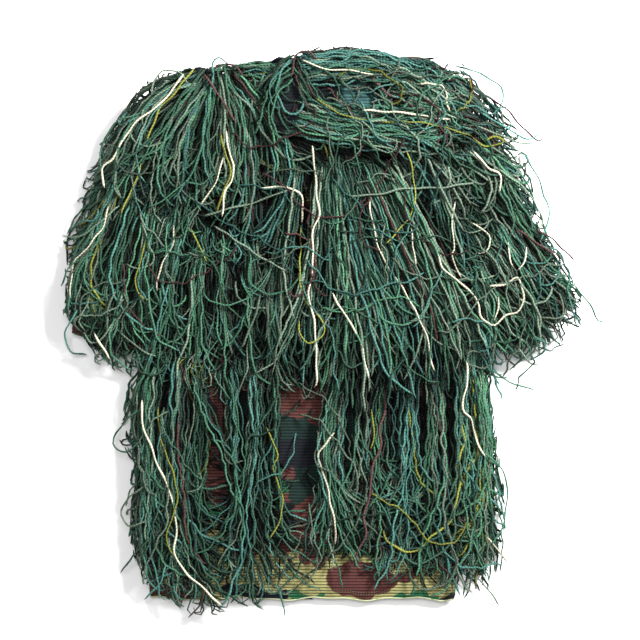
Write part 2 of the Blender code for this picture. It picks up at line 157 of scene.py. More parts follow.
# how far out the loose ends reach at each height: (y, left, right)
REACH = np.array((
    (-470, -200, 200), (-445, -230, 235), (-400, -290, 262), (-350, -310, 272), (-280, -314, 274),
    (-210, -303, 262), (-160, -335, 268), (-100, -322, 285), (-70, -325, 285), (-45, -362, 312),
    (0, -384, 395), (32, -416, 410), (70, -412, 396), (150, -420, 345), (220, -400, 322), (310, -360, 318),
    (360, -325, 262), (395, -300, 225), (415, -268, 200), (426, -222, 160), (436, -95, 100), (447, -60, 70),
    (460, -45, 40))) / 1000
BOTTOM_Y, TOP_Y = REACH[0, 0] + 0.015, REACH[-1, 0] - 0.004
SHOULDER_Y = 0.385          # above this, yarns keep closer to the outline and aren't bent along it
GIVE, SHOULDER_GIVE = 0.026, 0.003      # how far past the outline's sides a yarn may head
DRAWS, DRAW = 9, 0.86       # how often, and to what share of its length, a stray yarn is drawn in
BEND = 0.85                 # the share of what is left past the outline that a yarn bends back


def overshoot(x, y, slack):
    """How far points are left of the pile's outline and right of it, 0 within it."""
    left = np.interp(y, REACH[:, 0], REACH[:, 1]) - slack
    right = np.interp(y, REACH[:, 0], REACH[:, 2]) + slack
    return np.maximum(left - x, 0), np.maximum(x - right, 0)


def kept_inside(x, y, slack):
    """The same yarns, drawn in towards their roots and bent along the pile's outline to stay within it."""
    root_x, root_y = x[:, :1], y[:, :1]
    for _ in range(DRAWS):
        past_left, past_right = overshoot(x, y, slack)
        give = np.where(y > SHOULDER_Y, SHOULDER_GIVE, GIVE)
        stray = ((past_left + past_right > give) | (y < BOTTOM_Y) | (y > TOP_Y)).any(1)
        pull = np.where(stray, DRAW, 1.0)[:, None]
        x, y = root_x + (x - root_x) * pull, root_y + (y - root_y) * pull
    past_left, past_right = overshoot(x, y, slack)
    return x + np.where(y > SHOULDER_Y, 0, BEND) * (past_left - past_right), y


# ---- colours of the yarn (linear) ----

YARNS = {
    "green": (0.0200, 0.0640, 0.0370),
    "deep_green": (0.0095, 0.0290, 0.0180),
    "bright_green": (0.0300, 0.0920, 0.0480),
    "teal": (0.0250, 0.0790, 0.0650),
    "sage": (0.0620, 0.0880, 0.0620),
    "brown": (0.0300, 0.0110, 0.0110),
    "olive": (0.0900, 0.0950, 0.0120),
    "cream": (0.2700, 0.2550, 0.1900),
}
MAIN_MIX = {"green": 0.33, "deep_green": 0.14, "bright_green": 0.06, "teal": 0.16, "sage": 0.26,
            "brown": 0.03, "olive": 0.006}
# DARK_MIX: dark colours for the yarns that lie under others, as painted shade in the gaps between them
DARK_MIX = {"deep_green": 0.72, "green": 0.13, "brown": 0.15}
EDGE_MIX = {"deep_green": 0.36, "green": 0.32, "teal": 0.14, "sage": 0.13, "brown": 0.05}
LOWER_MIX = {"green": 0.27, "deep_green": 0.22, "bright_green": 0.02, "teal": 0.20, "sage": 0.22,
             "brown": 0.04, "olive": 0.03}
PALE_MIX = {"sage": 0.50, "green": 0.26, "teal": 0.14, "cream": 0.04, "olive": 0.06}
HOOD_MIX = {"green": 0.26, "deep_green": 0.12, "bright_green": 0.05, "teal": 0.24, "sage": 0.22,
            "brown": 0.07, "olive": 0.02, "cream": 0.02}
SIDES = 5
SHORTEST = 0.4              # a yarn that the outline cuts to less of its length than this is left out
SAMPLE = 0.0085             # distance between the sections of a yarn
# the lengths of yarn over which it sways, kinks, kinks finely, rises and falls, and thickens
SWAY, KINK, FINE_KINK, RIPPLE, SLUB = 0.14, 0.036, 0.022, 0.07, 0.020
CLEAR = 0.0004              # the least gap between a yarn and the floor
TUFT_SHARE = 0.6            # the share of a tuft's yarns that have the tuft's own colour

# where the mesh shows between the lowest bundles: (left, right, bottom, top)
BARE = ((-0.072, -0.022, -0.365, -0.090), (-0.197, -0.163, -0.375, -0.210))
CROSSING = 0.16             # the share of its length that a yarn may lie across them

# the family that each colour belongs to, which names its meshes
FAMILY = {"green": "green", "deep_green": "dark", "bright_green": "green", "teal": "green", "sage": "green",
          "brown": "brown", "olive": "green", "cream": "green"}

batches = {}


def seeded(name):
    return np.random.default_rng(zlib.crc32(name.encode()))


def add_yarns(body, row, colour, points, radii, tints):
    """Keeps yarns for one mesh: points is (yarns, samples, 3), radii (yarns, samples), tints (yarns,)."""
    batches.setdefault((body, row, FAMILY[colour]), []).append((colour, points, radii, tints))


def wave(rng, count, samples, cycles):
    """A smooth wave along each yarn with its own phase and about this many cycles."""
    t = np.linspace(0, 1, samples)[None]
    own = cycles * (1 + 0.5 * rng.uniform(-1, 1, (count, 1)))
    return np.sin(2 * np.pi * (own * t + rng.uniform(0, 1, (count, 1))))


def strands(rng, body, row, start, guide, lengths, across, colour_of, *, height, mound, wander=8.0, curl=45.0,
            kink=10.0, radius=0.0015, shade=(0.0, 1.0), curly=0.18):
    """Yarns from their start points along their tufts' headings, guide (yarns, samples), in radians."""
    count, samples = guide.shape
    t = np.linspace(0, 1, samples)[None]
    mean = lengths.mean()
    start = np.column_stack([start[:, 0], np.minimum(start[:, 1], REACH[-1, 0] - 0.014)])
    angle = guide + np.radians(wander) * wave(rng, count, samples, max(mean / SWAY, 0.8)) * t ** 0.5
    angle += np.radians(curl) * rng.normal(0, 1, (count, 1)) * t ** 3
    wild = rng.uniform(0, 1, (count, 1)) < curly
    angle += np.where(wild, rng.choice([-1, 1], (count, 1)) * rng.uniform(1.2, 4.0, (count, 1)), 0) * t ** 4
    kinks = wave(rng, count, samples, mean / KINK)
    angle += np.radians(kink) * (kinks + 0.6 * wave(rng, count, samples, mean / FINE_KINK))
    step = (lengths / (samples - 1))[:, None]
    x = start[:, :1] + np.cumsum(np.cos(angle) * step, 1)
    y = start[:, 1:] + np.cumsum(np.sin(angle) * step, 1)
    x, y = kept_inside(x, y, rng.uniform(-0.012, 0.012, (count, 1)))
    whole = np.hypot(np.diff(x, axis=1), np.diff(y, axis=1)).sum(1) > SHORTEST * lengths
    if row == "lower":
        bare = sum(((x > x0) & (x < x1) & (y > y0) & (y < y1)).mean(1) for x0, x1, y0, y1 in BARE)
        whole &= bare < CROSSING

    stack = np.sqrt(1 - across ** 2) * rng.uniform(0, 1, count)
    rise = np.clip(t / 0.08, 0, 1) ** 0.5 * (1 - 0.5 * t ** 3)
    z = resting_height(x, y, height, body) + mound * stack[:, None] * rise
    z += 0.0016 * wave(rng, count, samples, mean / RIPPLE)
    radii = radius * rng.uniform(0.75, 1.2, (count, 1)) * (1 + 0.14 * wave(rng, count, samples, mean / SLUB))
    z = np.maximum(z, radii + CLEAR)
    points = np.stack([x, y, z], 2)
    # tints: partly tone at random, partly painted light, lighter for yarns higher in their tuft's mound;
    # shade is the range they span
    light = 0.45 * rng.uniform(0, 1, count) + 0.55 * stack * rng.uniform(0.5, 1, count)
    tints = shade[0] + (shade[1] - shade[0]) * light
    for colour in sorted(set(colour_of)):
        chosen = (colour_of == colour) & whole
        if chosen.any():
            add_yarns(body, row, colour, points[chosen], radii[chosen], tints[chosen])


def colours_for(rng, mix, tuft):
    """Each yarn's colour: mostly its tuft's own, and otherwise any of the mix."""
    names = np.array(list(mix))
    chances = np.array(list(mix.values()))
    chances = chances / chances.sum()
    tuft_colour = rng.choice(names, tuft.max() + 1, p=chances)[tuft]
    own = rng.uniform(0, 1, len(tuft)) < TUFT_SHARE
    return np.where(own, tuft_colour, rng.choice(names, len(tuft), p=chances))


def comb(name, body, row, line, headings, length, tufts, per_tuft, *, width=0.013, bend=10.0, swing=10.0,
         jitter=0.012, spread=4.0, mix=None, **looks):
    """One sewn row of tufts.

    line is the row's course and headings the tufts' directions in degrees at the same places. bend is how
    much a tuft may turn over its length, swing its shared wave and spread its fanning out, all in degrees.
    """
    rng = seeded(name)
    line = np.array(line, float)
    place = (np.arange(tufts) + rng.uniform(0.15, 0.85, tufts)) / tufts * (len(line) - 1)
    roots = np.stack([np.interp(place, range(len(line)), line[:, k]) for k in (0, 1)], 1)
    roots += rng.normal(0, jitter, roots.shape) * (0.5, 1.0)
    heading = np.radians(np.interp(place, range(len(line)), headings) + rng.normal(0, 6, tufts))
    count = tufts * per_tuft
    tuft = np.repeat(np.arange(tufts), per_tuft)
    lengths = rng.uniform(*length, tufts)[tuft] * rng.uniform(0.70, 1.06, count)
    samples = int(np.ceil(np.mean(length) / SAMPLE))
    t = np.linspace(0, 1, samples)[None]
    across = rng.uniform(-1, 1, count)
    guide = heading[:, None] + np.radians(rng.uniform(-bend, bend, (tufts, 1))) * t
    guide = guide + np.radians(swing) * wave(rng, tufts, samples, 1.0) * t ** 0.5
    guide = guide[tuft] + np.radians(spread) * across[:, None] * t
    side = np.stack([-np.sin(heading), np.cos(heading)], 1)[tuft]
    start = roots[tuft] + side * (across * width)[:, None] + rng.normal(0, 0.004, (count, 2))
    strands(rng, body, row, start, guide, lengths, across, colours_for(rng, mix or MAIN_MIX, tuft), **looks)


def smooth_route(points, samples):
    """A smooth curve through given points, evenly sampled, and its length."""
    points = np.array(points, float)
    ends = np.concatenate([2 * points[:1] - points[1:2], points, 2 * points[-1:] - points[-2:-1]])
    fine = []
    for a, b, c, d in zip(ends, ends[1:], ends[2:], ends[3:]):
        for t in np.linspace(0, 1, 24, endpoint=False):
            fine.append(0.5 * ((2 * b) + (c - a) * t + (2 * a - 5 * b + 4 * c - d) * t ** 2
                               + (3 * b - a - 3 * c + d) * t ** 3))
    fine = np.array([*fine, points[-1]])
    along = np.r_[0, np.cumsum(np.linalg.norm(np.diff(fine, axis=0), axis=1))]
    at = np.linspace(0, along[-1], samples)
    return np.stack([np.interp(at, along, fine[:, k]) for k in range(points.shape[1])], 1), along[-1]


FULLNESS = 1.25             # yarns in a bundle, against the number written with its course
ROOT_SPREAD = 0.012         # how far the roots of a bundle's yarns scatter along it
LOCK_RADIUS, LOCK_SAMPLES = 0.0017, 64


def locks(name, body, row, bundles, *, mix=MAIN_MIX, shade, **looks):
    """Listed bundles: each has its number of yarns, its half-widths and its course, in mm."""
    for k, (count, width, *course) in enumerate(bundles):
        rng = seeded(f"{name}_{k}")
        yarns, width = int(count * FULLNESS), np.divide(width, 1000)
        course, total = smooth_route(mm(*course), LOCK_SAMPLES)
        turn = np.unwrap(np.arctan2(*np.gradient(course, axis=0).T[::-1]))
        lengths = total * rng.uniform(0.74, 1.06, yarns)
        own = int(np.ceil(total / SAMPLE))
        at = np.linspace(0, 1, own)[None] * lengths[:, None] / total
        across = rng.uniform(-1, 1, yarns)
        half = np.interp(at, (0, 0.5, 1.1), width)
        guide = np.interp(at, np.linspace(0, 1, LOCK_SAMPLES), turn)
        guide = guide + np.arctan(across[:, None] * np.gradient(half, axis=1) / (total / own))
        side = np.array([-math.sin(turn[0]), math.cos(turn[0])])
        start = course[0] + side * (across * width[0])[:, None]
        start = start + rng.normal(0, ROOT_SPREAD, (yarns, 2)) * (0.3, 1.0)
        colour_of = colours_for(rng, mix, rng.integers(0, 3, yarns))
        strands(rng, body, row, start, guide, lengths, across, colour_of, radius=LOCK_RADIUS,
                shade=np.add(shade, rng.uniform(-0.14, 0.12)), **looks)


# ---- the rows ----

def frizz(name, body, row, line, headings, tufts, height, length=(0.035, 0.075)):
    """Short curly ends that stand out of the pile where a tier stops."""
    comb(name, body, row, line, headings, length, tufts, 7, height=height, mound=0.010, bend=40, swing=30,
         wander=25, curl=110, curly=0.5, jitter=0.022, radius=0.0013, shade=(0.25, 1.0))


MID, SLIM = (12, 17, 22), (10, 13, 18)      # half-widths at the root, the middle and the tip
# FILLER's dark colours and low tints are painted shade: they blacken the gaps between the bundles
FILLER = dict(mound=0.012, curl=50, mix=DARK_MIX, shade=(-0.12, 0.55))      # dark yarns under the bundles
EDGE = dict(mound=0.014, mix=EDGE_MIX, shade=(0.0, 0.8))                    # yarns that show at the outline


def lower_rows():
    """The lowest tier hangs in separate bundles, with the mesh showing between them."""
    bundles = (
        ("outer_left", -0.290, -0.205, 0.34, 8, -92, -90),
        ("inner_left", -0.160, -0.098, 0.33, 5, -90, -93),
        ("inner_right", 0.062, 0.110, 0.30, 4, -88, -88),
        ("outer_right", 0.120, 0.240, 0.34, 9, -90, -87),
    )
    for name, left, right, reach, tufts, from_heading, to_heading in bundles:
        for k, (y, share) in enumerate(((-0.060, 1.0), (-0.120, 0.80), (-0.190, 0.62))):
            comb(f"lower_{name}_{k}", "jacket", "lower", [(left, y), (right, y)], [from_heading, to_heading],
                 (reach * share * 0.80, reach * share), tufts, 8, height=BACK_Z + 0.002 + 0.003 * k, bend=7,
                 swing=9, **{**FILLER, "curl": 40})
    locks("lower_lock", "jacket", "lower", (
        (34, (14, 22, 26), -285, -50, -296, -180, -283, -300, -262, -390),
        (32, MID, -240, -50, -250, -200, -232, -330, -205, -410),
        (26, SLIM, -205, -50, -212, -180, -212, -300, -190, -410),
        (30, MID, -160, -50, -150, -200, -142, -330, -135, -420),
        (30, MID, -120, -50, -115, -200, -118, -330, -110, -420),
        (20, (8, 10, 12), -92, -50, -92, -180, -100, -290, -92, -380),
        (14, (8, 12, 20), -230, -60, -195, -150, -165, -240, -155, -330),
        (24, (9, 11, 13), 52, -50, 47, -170, 55, -290, 54, -360),
        (28, MID, 90, -50, 75, -180, 80, -290, 85, -370),
        (30, MID, 130, -50, 125, -200, 130, -330, 150, -400),
        (30, MID, 170, -50, 172, -200, 165, -330, 170, -400),
        (30, MID, 210, -50, 215, -200, 220, -330, 225, -420),
        (28, MID, 240, -50, 254, -180, 254, -310, 262, -410),
        (14, (8, 14, 20), -275, -40, -312, -110, -322, -170),
        (22, SLIM, -285, -120, -294, -250, -282, -360, -262, -435),
        (22, SLIM, -262, -120, -262, -280, -246, -360, -215, -445),
        (18, SLIM, -235, -140, -232, -290, -216, -380, -185, -440),
        (22, SLIM, 250, -120, 256, -270, 250, -360, 236, -425),
    ), height=BACK_Z + 0.006, mound=0.028, wander=13, kink=14, curl=55, curly=0.26, mix=LOWER_MIX,
          shade=(0.15, 1.1))
    locks("lower_pale", "jacket", "lower", (
        (26, (6, 10, 10), 16, -60, 0, -130, -6, -200, 4, -280, 6, -380),
        (16, (5, 7, 9), 24, -60, 18, -150, 10, -250, 16, -350),
    ), height=BACK_Z + 0.012, mound=0.022, wander=10, kink=13, curl=30, curly=0.08, mix=PALE_MIX,
          shade=(0.3, 1.15))
    frizz("lower_frizz_left", "jacket", "lower", mm(-290, -310, -200, -360, -110, -350), [-110, -95, -90],
          18, BACK_Z + 0.010)
    frizz("lower_frizz_right", "jacket", "lower", mm(60, -290, 140, -330, 250, -330), [-100, -90, -65],
          20, BACK_Z + 0.010)


def middle_rows():
    comb("middle_0", "jacket", "middle", mm(-245, 60, -50, 60, 215, 50), [-96, -90, -80],
         (0.12, 0.15), 16, 9, height=BACK_Z + 0.003, **FILLER)
    comb("middle_1", "jacket", "middle", mm(-225, 130, -50, 140, 180, 130), [-100, -90, -74],
         (0.17, 0.22), 17, 9, height=BACK_Z + 0.007, **FILLER)
    comb("middle_2", "jacket", "middle", mm(-200, 200, -50, 210, 130, 200), [-98, -88, -66],
         (0.20, 0.27), 16, 9, height=BACK_Z + 0.012, **FILLER)
    locks("middle_lock", "jacket", "middle", (
        (30, MID, -238, 170, -262, 54, -280, -50),
        (30, MID, -206, 160, -214, 38, -226, -70),
        (30, MID, -166, 160, -166, 38, -174, -74),
        (28, MID, -126, 150, -126, 38, -134, -82),
        (24, SLIM, -90, 128, -86, 22, -92, -82),
        (18, SLIM, -58, 80, -52, -10, -50, -85),
        (28, MID, 26, 128, 58, 22, 85, -80),
        (30, MID, 110, 140, 140, 38, 165, -74),
        (30, MID, 170, 160, 205, 54, 228, -58),
        (24, MID, 215, 70, 248, -10, 262, -82),
    ), height=BACK_Z + 0.012, mound=0.028, wander=10, curl=50, shade=(0.25, 1.1))
    frizz("middle_frizz", "jacket", "middle", mm(-270, -10, -100, -40, 80, -40, 250, -20),
          [-115, -90, -80, -60], 34, BACK_Z + 0.020)


def upper_rows():
    comb("upper_0", "jacket", "upper", mm(-190, 290, -60, 290, 100, 270), [-100, -86, -62],
         (0.20, 0.28), 14, 9, height=BACK_Z + 0.018, **FILLER)
    comb("upper_1", "jacket", "upper", mm(-150, 360, -60, 340, 60, 310), [-95, -84, -60],
         (0.16, 0.24), 11, 9, height=BACK_Z + 0.022, **FILLER)
    locks("upper_lock", "jacket", "upper", (
        (34, SLIM, -10, 280, -20, 160, -35, 40, -45, -60),
        (42, (12, 16, 20), 5, 280, 10, 160, 20, 40, 15, -70),
        (32, SLIM, 15, 280, 30, 160, 52, 50, 62, -80),
        (42, (12, 18, 24), 20, 270, 50, 140, 85, 30, 108, -80),
        (36, (12, 18, 22), 45, 270, 90, 150, 125, 50, 150, -70),
        (40, (12, 18, 24), 60, 270, 112, 150, 160, 50, 190, -60),
        (36, (12, 18, 22), 90, 270, 145, 160, 195, 60, 232, -30),
        (26, SLIM, -50, 270, -65, 170, -80, 80, -90, -20),
        (26, (12, 16, 22), -75, 330, -60, 250, -80, 170, -110, 120),
        (22, SLIM, -134, 330, -126, 230, -146, 140),
        (26, MID, 150, 290, 185, 200, 215, 120),
    ), height=0.056, mound=0.026, wander=5, curl=22, kink=8, curly=0.08, shade=(0.2, 1.1))
    frizz("upper_frizz", "jacket", "upper", mm(-260, 170, -160, 170, -60, 120), [-110, -90, -60],
          20, 0.058)
    frizz("upper_frizz_right", "jacket", "upper", mm(100, 140, 180, 150, 220, 100), [-90, -60, -40],
          10, 0.056)


def yoke_rows():
    over = dict(height=0.058, mound=0.026, wander=9, curl=45, shade=(0.25, 1.1))
    locks("yoke_fan", "jacket", "yoke", (
        (32, (8, 18, 24), -185, 415, -215, 340, -245, 260, -270, 190),
        (30, (8, 17, 22), -180, 415, -190, 340, -205, 260, -225, 180),
        (30, (8, 17, 22), -172, 415, -162, 350, -165, 270, -180, 190),
        (28, (8, 15, 20), -165, 415, -135, 340, -130, 260, -150, 190),
        (24, (8, 14, 18), -160, 418, -120, 370, -90, 300, -75, 230),
    ), **over)
    locks("shoulder_fan", "jacket", "shoulder_left", (
        (32, (8, 18, 26), -190, 415, -240, 350, -290, 270, -330, 190),
        (26, (10, 18, 24), -200, 415, -262, 385, -310, 320, -345, 250),
        (20, (10, 16, 20), -225, 405, -275, 380, -310, 350, -330, 300),
        (20, (10, 14, 20), -240, 395, -300, 345, -345, 270, -375, 205),
    ), **over)
    over.update(height=0.054, mound=0.024, wander=12, curl=60)
    locks("yoke_right", "jacket", "yoke", (
        (24, MID, 110, 320, 145, 260, 170, 190),
        (26, MID, 150, 320, 190, 260, 225, 190),
    ), **over)
    locks("shoulder_fan_right", "jacket", "shoulder_right", (
        (26, MID, 185, 320, 230, 260, 268, 195),
        (24, MID, 215, 320, 262, 270, 298, 210),
    ), **over)
    # darker tints under the hood: painted shade
    locks("under_hood", "jacket", "yoke", (
        (24, MID, -40, 400, -10, 340, 15, 270),
        (26, MID, 0, 395, 40, 340, 65, 270),
        (26, MID, 50, 395, 85, 345, 110, 280),
        (26, MID, 95, 390, 130, 340, 155, 280),
        (24, MID, 135, 380, 175, 335, 205, 280),
    ), height=0.040, mound=0.026, wander=10, curl=45, shade=(0.1, 0.9))
    locks("collar", "jacket", "yoke", (
        (24, SLIM, -155, 414, -112, 418, -78, 400, -62, 350),
        (24, SLIM, -128, 422, -94, 418, -80, 385, -90, 330),
        (22, SLIM, -108, 428, -70, 424, -56, 390, -50, 345),
        (20, SLIM, -150, 420, -130, 400, -122, 360, -110, 310),
        (18, SLIM, -88, 432, -100, 410, -118, 370, -112, 330),
        (16, (6, 8, 12), -200, 418, -160, 426, -115, 424, -85, 400),
    ), height=0.061, mound=0.016, wander=14, curl=55, shade=(0.1, 1.0))
    for side, near, far in ((-1, (-0.135, 0.415), (-0.262, 0.388)), (1, (0.060, 0.412), (0.172, 0.388))):
        comb(f"shoulder_{side}", "jacket", "yoke", [near, far], [90 - side * 75, 90 - side * 125],
             (0.045, 0.080), 14, 9, height=0.046, mound=0.018, bend=30, swing=20, curl=80, shade=(0.1, 0.9))
    comb("yoke_left", "jacket", "shoulder_left", mm(-225, 395, -265, 360, -295, 320), [-130, -122, -112],
         (0.12, 0.18), 7, 11, height=0.050, bend=20, **{**EDGE, "mound": 0.012})
    comb("yoke_right", "jacket", "yoke", mm(100, 345, 175, 355), [-78, -71],
         (0.13, 0.18), 6, 11, height=0.048, bend=16, **EDGE)
    comb("shoulder_comb_right", "jacket", "shoulder_right", mm(185, 355, 225, 345), [-70, -62],
         (0.13, 0.18), 4, 11, height=0.048, bend=16, **EDGE)
    comb("neck", "jacket", "yoke", mm(-130, 412, -80, 400, -20, 360), [-75, -100, -70],
         (0.06, 0.13), 10, 9, height=0.050, mound=0.014, bend=35, swing=30, curl=70)


def sleeve_rows():
    bundles = {
        "left": (
            (30, MID, -335, 260, -372, 166, -398, 70, -394, -10),
            (30, MID, -312, 225, -342, 118, -362, 22, -366, -50),
            (30, MID, -282, 210, -302, 86, -325, -40),
            (20, MID, -350, 200, -392, 120, -412, 40),
            (20, MID, -330, 80, -345, 0, -350, -55),
        ),
        "right": (
            (30, MID, 262, 180, 318, 92, 380, 38),
            (30, MID, 248, 145, 300, 60, 348, -2),
            (28, MID, 232, 115, 272, 28, 302, -45),
            (26, MID, 290, 195, 340, 115, 405, 52),
            (20, MID, 300, 100, 330, 40, 340, -30),
            (24, MID, 268, 250, 300, 190, 330, 130),
        )}
    rings = ((-0.020, 0.16), (0.040, 0.17), (0.105, 0.16), (0.170, 0.16), (0.235, 0.14))
    for sleeve, tilt, edge in ((LEFT, 4, 0.075), (RIGHT, 2, 0.070)):
        side, body = sleeve.name, f"{sleeve.name}_sleeve"
        for k, (down, reach) in enumerate(rings):
            line = [sleeve.point(out, down) for out in (-0.055, 0.01, edge)]
            headings = [sleeve.heading(a) for a in (-6 + tilt, 3 + tilt, 14 + tilt)]
            comb(f"{body}_{k}", body, "sleeve", line, headings, (reach * 0.75, reach * 1.05), 10, 9,
                 height=SLEEVE_Z + 0.0020 * (4 - k), bend=16, swing=14, curl=60, wander=12, **EDGE)
        locks(f"{side}_lock", body, "sleeve", bundles[side], height=SLEEVE_Z + 0.004, mound=0.026, wander=12,
              curl=60, shade=(0.25, 1.1))
        frizz(f"{side}_frizz", body, "sleeve", [sleeve.point(out, 0.28) for out in (-0.05, 0.07)],
              [sleeve.heading(-10), sleeve.heading(20)], 16, SLEEVE_Z + 0.004)


def hood_rows():
    locks("hood_lock", "hood", "hood", (
        (34, (6, 10, 22), -55, 430, 40, 437, 130, 425, 205, 395, 235, 350),
        (30, (6, 10, 22), -50, 415, 30, 422, 110, 410, 180, 380, 215, 330),
        (24, (10, 12, 20), 90, 400, 130, 392, 170, 365, 195, 330),
        (22, (10, 12, 20), 110, 370, 145, 365, 185, 345, 210, 310),
        (32, (6, 12, 18), -60, 345, 10, 325, 90, 318, 170, 310, 245, 300),
        (24, (6, 9, 18), -45, 360, 20, 335, 90, 335, 170, 332, 250, 330),
        (18, (8, 10, 14), -55, 425, -35, 380, 0, 340, 60, 315),
        (14, (6, 12, 16), -50, 432, -82, 400, -88, 350, -70, 310),
        (24, (12, 16, 24), 195, 395, 245, 365, 262, 315, 240, 275),
        (20, (12, 16, 22), 200, 340, 250, 325, 290, 280),
        (10, (8, 10, 14), 60, 405, 90, 372, 130, 350),
    ), height=HOOD_Z, mound=0.013, wander=17, kink=13, curl=60, mix=HOOD_MIX, shade=(0.15, 1.1))
    frizz("hood_edge", "hood", "hood", mm(-60, 422, 50, 430, 140, 424, 200, 392),
          [25, 5, -12, -35], 16, HOOD_Z - 0.004)
    for k, (y, x) in enumerate(((0.425, -0.085), (0.390, -0.090), (0.355, -0.085), (0.325, -0.070))):
        line = [(x, y - 0.01), (0.05, y), (0.16, y - 0.01)]
        comb(f"hood_under_{k}", "hood", "hood_under", line, [-30, -20, -40], (0.08, 0.12), 14, 9,
             height=0.0715, mound=0.003, curl=60)
    frizz("hood_frizz", "hood", "hood", mm(170, 380, 230, 330, 220, 290), [-20, -50, -80], 14, HOOD_Z - 0.010)


def under_rows():
    """The front's own yarns, pressed flat between the jacket and the floor, and those under the sleeves."""
    # dark colours and low tints: painted shade under the jacket and the sleeves
    flat = dict(height=0.0055, mound=0.0045, mix=DARK_MIX, curl=40, radius=0.0013, shade=(0.0, 0.6))
    for side, row in ((-1, "front_left"), (1, "front_right")):
        edge, inner = TORSO_X + side * TORSO_HALF, TORSO_X + side * 0.03
        for k, y in enumerate((0.22, 0.08, -0.06, -0.20)):
            comb(f"front_{side}_{k}", "jacket", row, [(edge + 0.02 * -side, y), (inner, y)],
                 [-90 + side * 6, -90 - side * 3], (0.14, 0.20), 8, 9, **flat)
    for sleeve in (LEFT, RIGHT):
        for k, down in enumerate((0.05, 0.15, 0.24)):
            line = [sleeve.point(out, down) for out in (-0.04, 0.06)]
            comb(f"{sleeve.name}_under_{k}", f"{sleeve.name}_sleeve", "sleeve_under", line,
                 [sleeve.heading(-3), sleeve.heading(14)], (0.10, 0.14), 7, 9, **flat)


# ---- yarns that lie loose over the pile ----

CELL = 0.004
LOOSE_SAMPLE = 0.006        # distance between the sections of a loose yarn
STEEPEST = 0.55             # how steeply a loose yarn comes down off the pile
DIP = 0.0045                # how far a loose yarn sinks between the others at its lowest places
BURIED = 0.0098             # how deep in the pile the painted shade has taken most of a yarn's light
FRINGE_LIGHT = 0.014        # how far outside the cloth the painted shade fades, leaving the loose ends there painted fully lit


class Pile:
    """The height of the top of the yarns grown so far, on one body or on all, on a grid of cells."""

    def __init__(self, body=None):
        self.low = np.array([cad_box[0][0] - 0.06, cad_box[0][1] - 0.06])
        shape = (np.array([cad_box[1][0] + 0.06, cad_box[1][1] + 0.06]) - self.low) / CELL
        self.top = np.full(shape.astype(int) + 2, 0.001)
        for (owner, _, _), groups in batches.items():
            for _, points, radii, _ in groups if body in (None, owner) else ():
                cells = self.cells(points[..., :2].reshape(-1, 2))
                np.maximum.at(self.top, tuple(cells.T), (points[..., 2] + radii).ravel())
        self.top = self.spread(self.top, 1, np.max)
        self.crest = self.spread(self.spread(self.top, 2, np.max), 2, np.mean)

    @staticmethod
    def spread(grid, reach, combine):
        """Each cell's highest or average neighbour, as combine says, within this reach."""
        wide = np.pad(grid, reach, mode="edge")
        return combine(np.lib.stride_tricks.sliding_window_view(wide, (2 * reach + 1,) * 2), axis=(2, 3))

    def cells(self, places):
        cells = ((places - self.low) / CELL).astype(int)
        return np.clip(cells, 0, np.array(self.top.shape) - 1)

    def drape(self, course, radius):
        """Heights along a course for a yarn lying on the pile, bridging its hollows."""
        reach = 4
        height = self.top[tuple(self.cells(course).T)]
        height = np.pad(height, reach, mode="edge")
        height = np.lib.stride_tricks.sliding_window_view(height, reach + 1).max(1)
        height = np.lib.stride_tricks.sliding_window_view(height, reach + 1).mean(1)
        fall = STEEPEST * np.r_[0, np.linalg.norm(np.diff(course, axis=0), axis=1)]
        for _ in range(2):
            for k in range(1, len(height)):
                height[k] = max(height[k], height[k - 1] - fall[k])
            height, fall = height[::-1], np.r_[0, fall[:0:-1]]
        return height + radius * 0.5


def lay(pile, rng, body, colour, course, radius, tint):
    """One loose yarn along a sampled course of (x, y) on the pile."""
    samples = len(course)
    spots = np.arange(samples)
    for size, low, high in ((0.0008, 0.6, 1.1), (0.0014, 0.15, 0.35)):
        waves = [np.sin(spots * rng.uniform(low, high) + rng.uniform(0, 6)) for _ in (0, 1)]
        course = course + size * np.stack(waves, 1)
    dip = DIP * np.clip(np.sin(spots * rng.uniform(0.14, 0.30) + rng.uniform(0, 6)), 0, 1)
    points = np.column_stack([course, np.maximum(pile.drape(course, radius) - dip, radius + CLEAR)])[None]
    radii = radius * (1 + 0.15 * np.sin(spots * rng.uniform(0.6, 1.1)))[None]
    add_yarns(body, "loose", colour, points, radii, np.array([tint]))


def accents(pile):
    """The pale, yellow and brown yarns that stand out, each along a route of its own."""
    rng = seeded("accents")
    for body, colour, radius, *courses in ACCENTS:
        for places in courses:
            _, total = smooth_route(mm(*places), 8)
            course, _ = smooth_route(mm(*places), max(int(total / LOOSE_SAMPLE), 6))
            lay(pile, rng, body, colour, course, radius, rng.uniform(0.55, 0.95))


LOOSE_MIX = {"sage": 0.30, "teal": 0.22, "green": 0.25, "bright_green": 0.03, "brown": 0.08,
             "deep_green": 0.10, "cream": 0.00, "olive": 0.02}
LOOSE_HOOD_MIX = {"sage": 0.25, "teal": 0.26, "green": 0.18, "bright_green": 0.04, "brown": 0.14,
                  "deep_green": 0.06, "cream": 0.03, "olive": 0.04}
# where loose yarns start: (body, how many, (left, bottom), (right, top), heading, its spread)
FIELDS = (
    ("jacket", 26, (-0.26, -0.34), (0.22, -0.06), -90, 32),
    ("jacket", 24, (-0.26, -0.02), (0.22, 0.24), -80, 40),
    ("jacket", 18, (-0.28, 0.20), (0.20, 0.40), -70, 45),
    ("jacket", 9, (-0.24, 0.02), (0.10, 0.26), 0, 25),
    ("left_sleeve", 14, (-0.38, -0.02), (-0.27, 0.26), -110, 45),
    ("right_sleeve", 14, (0.22, -0.02), (0.36, 0.24), -60, 45),
    ("hood", 32, (-0.04, 0.32), (0.19, 0.43), -12, 25),
)
SHORTEST_LOOSE = 0.03       # a loose yarn whose ends are closer than this is left out


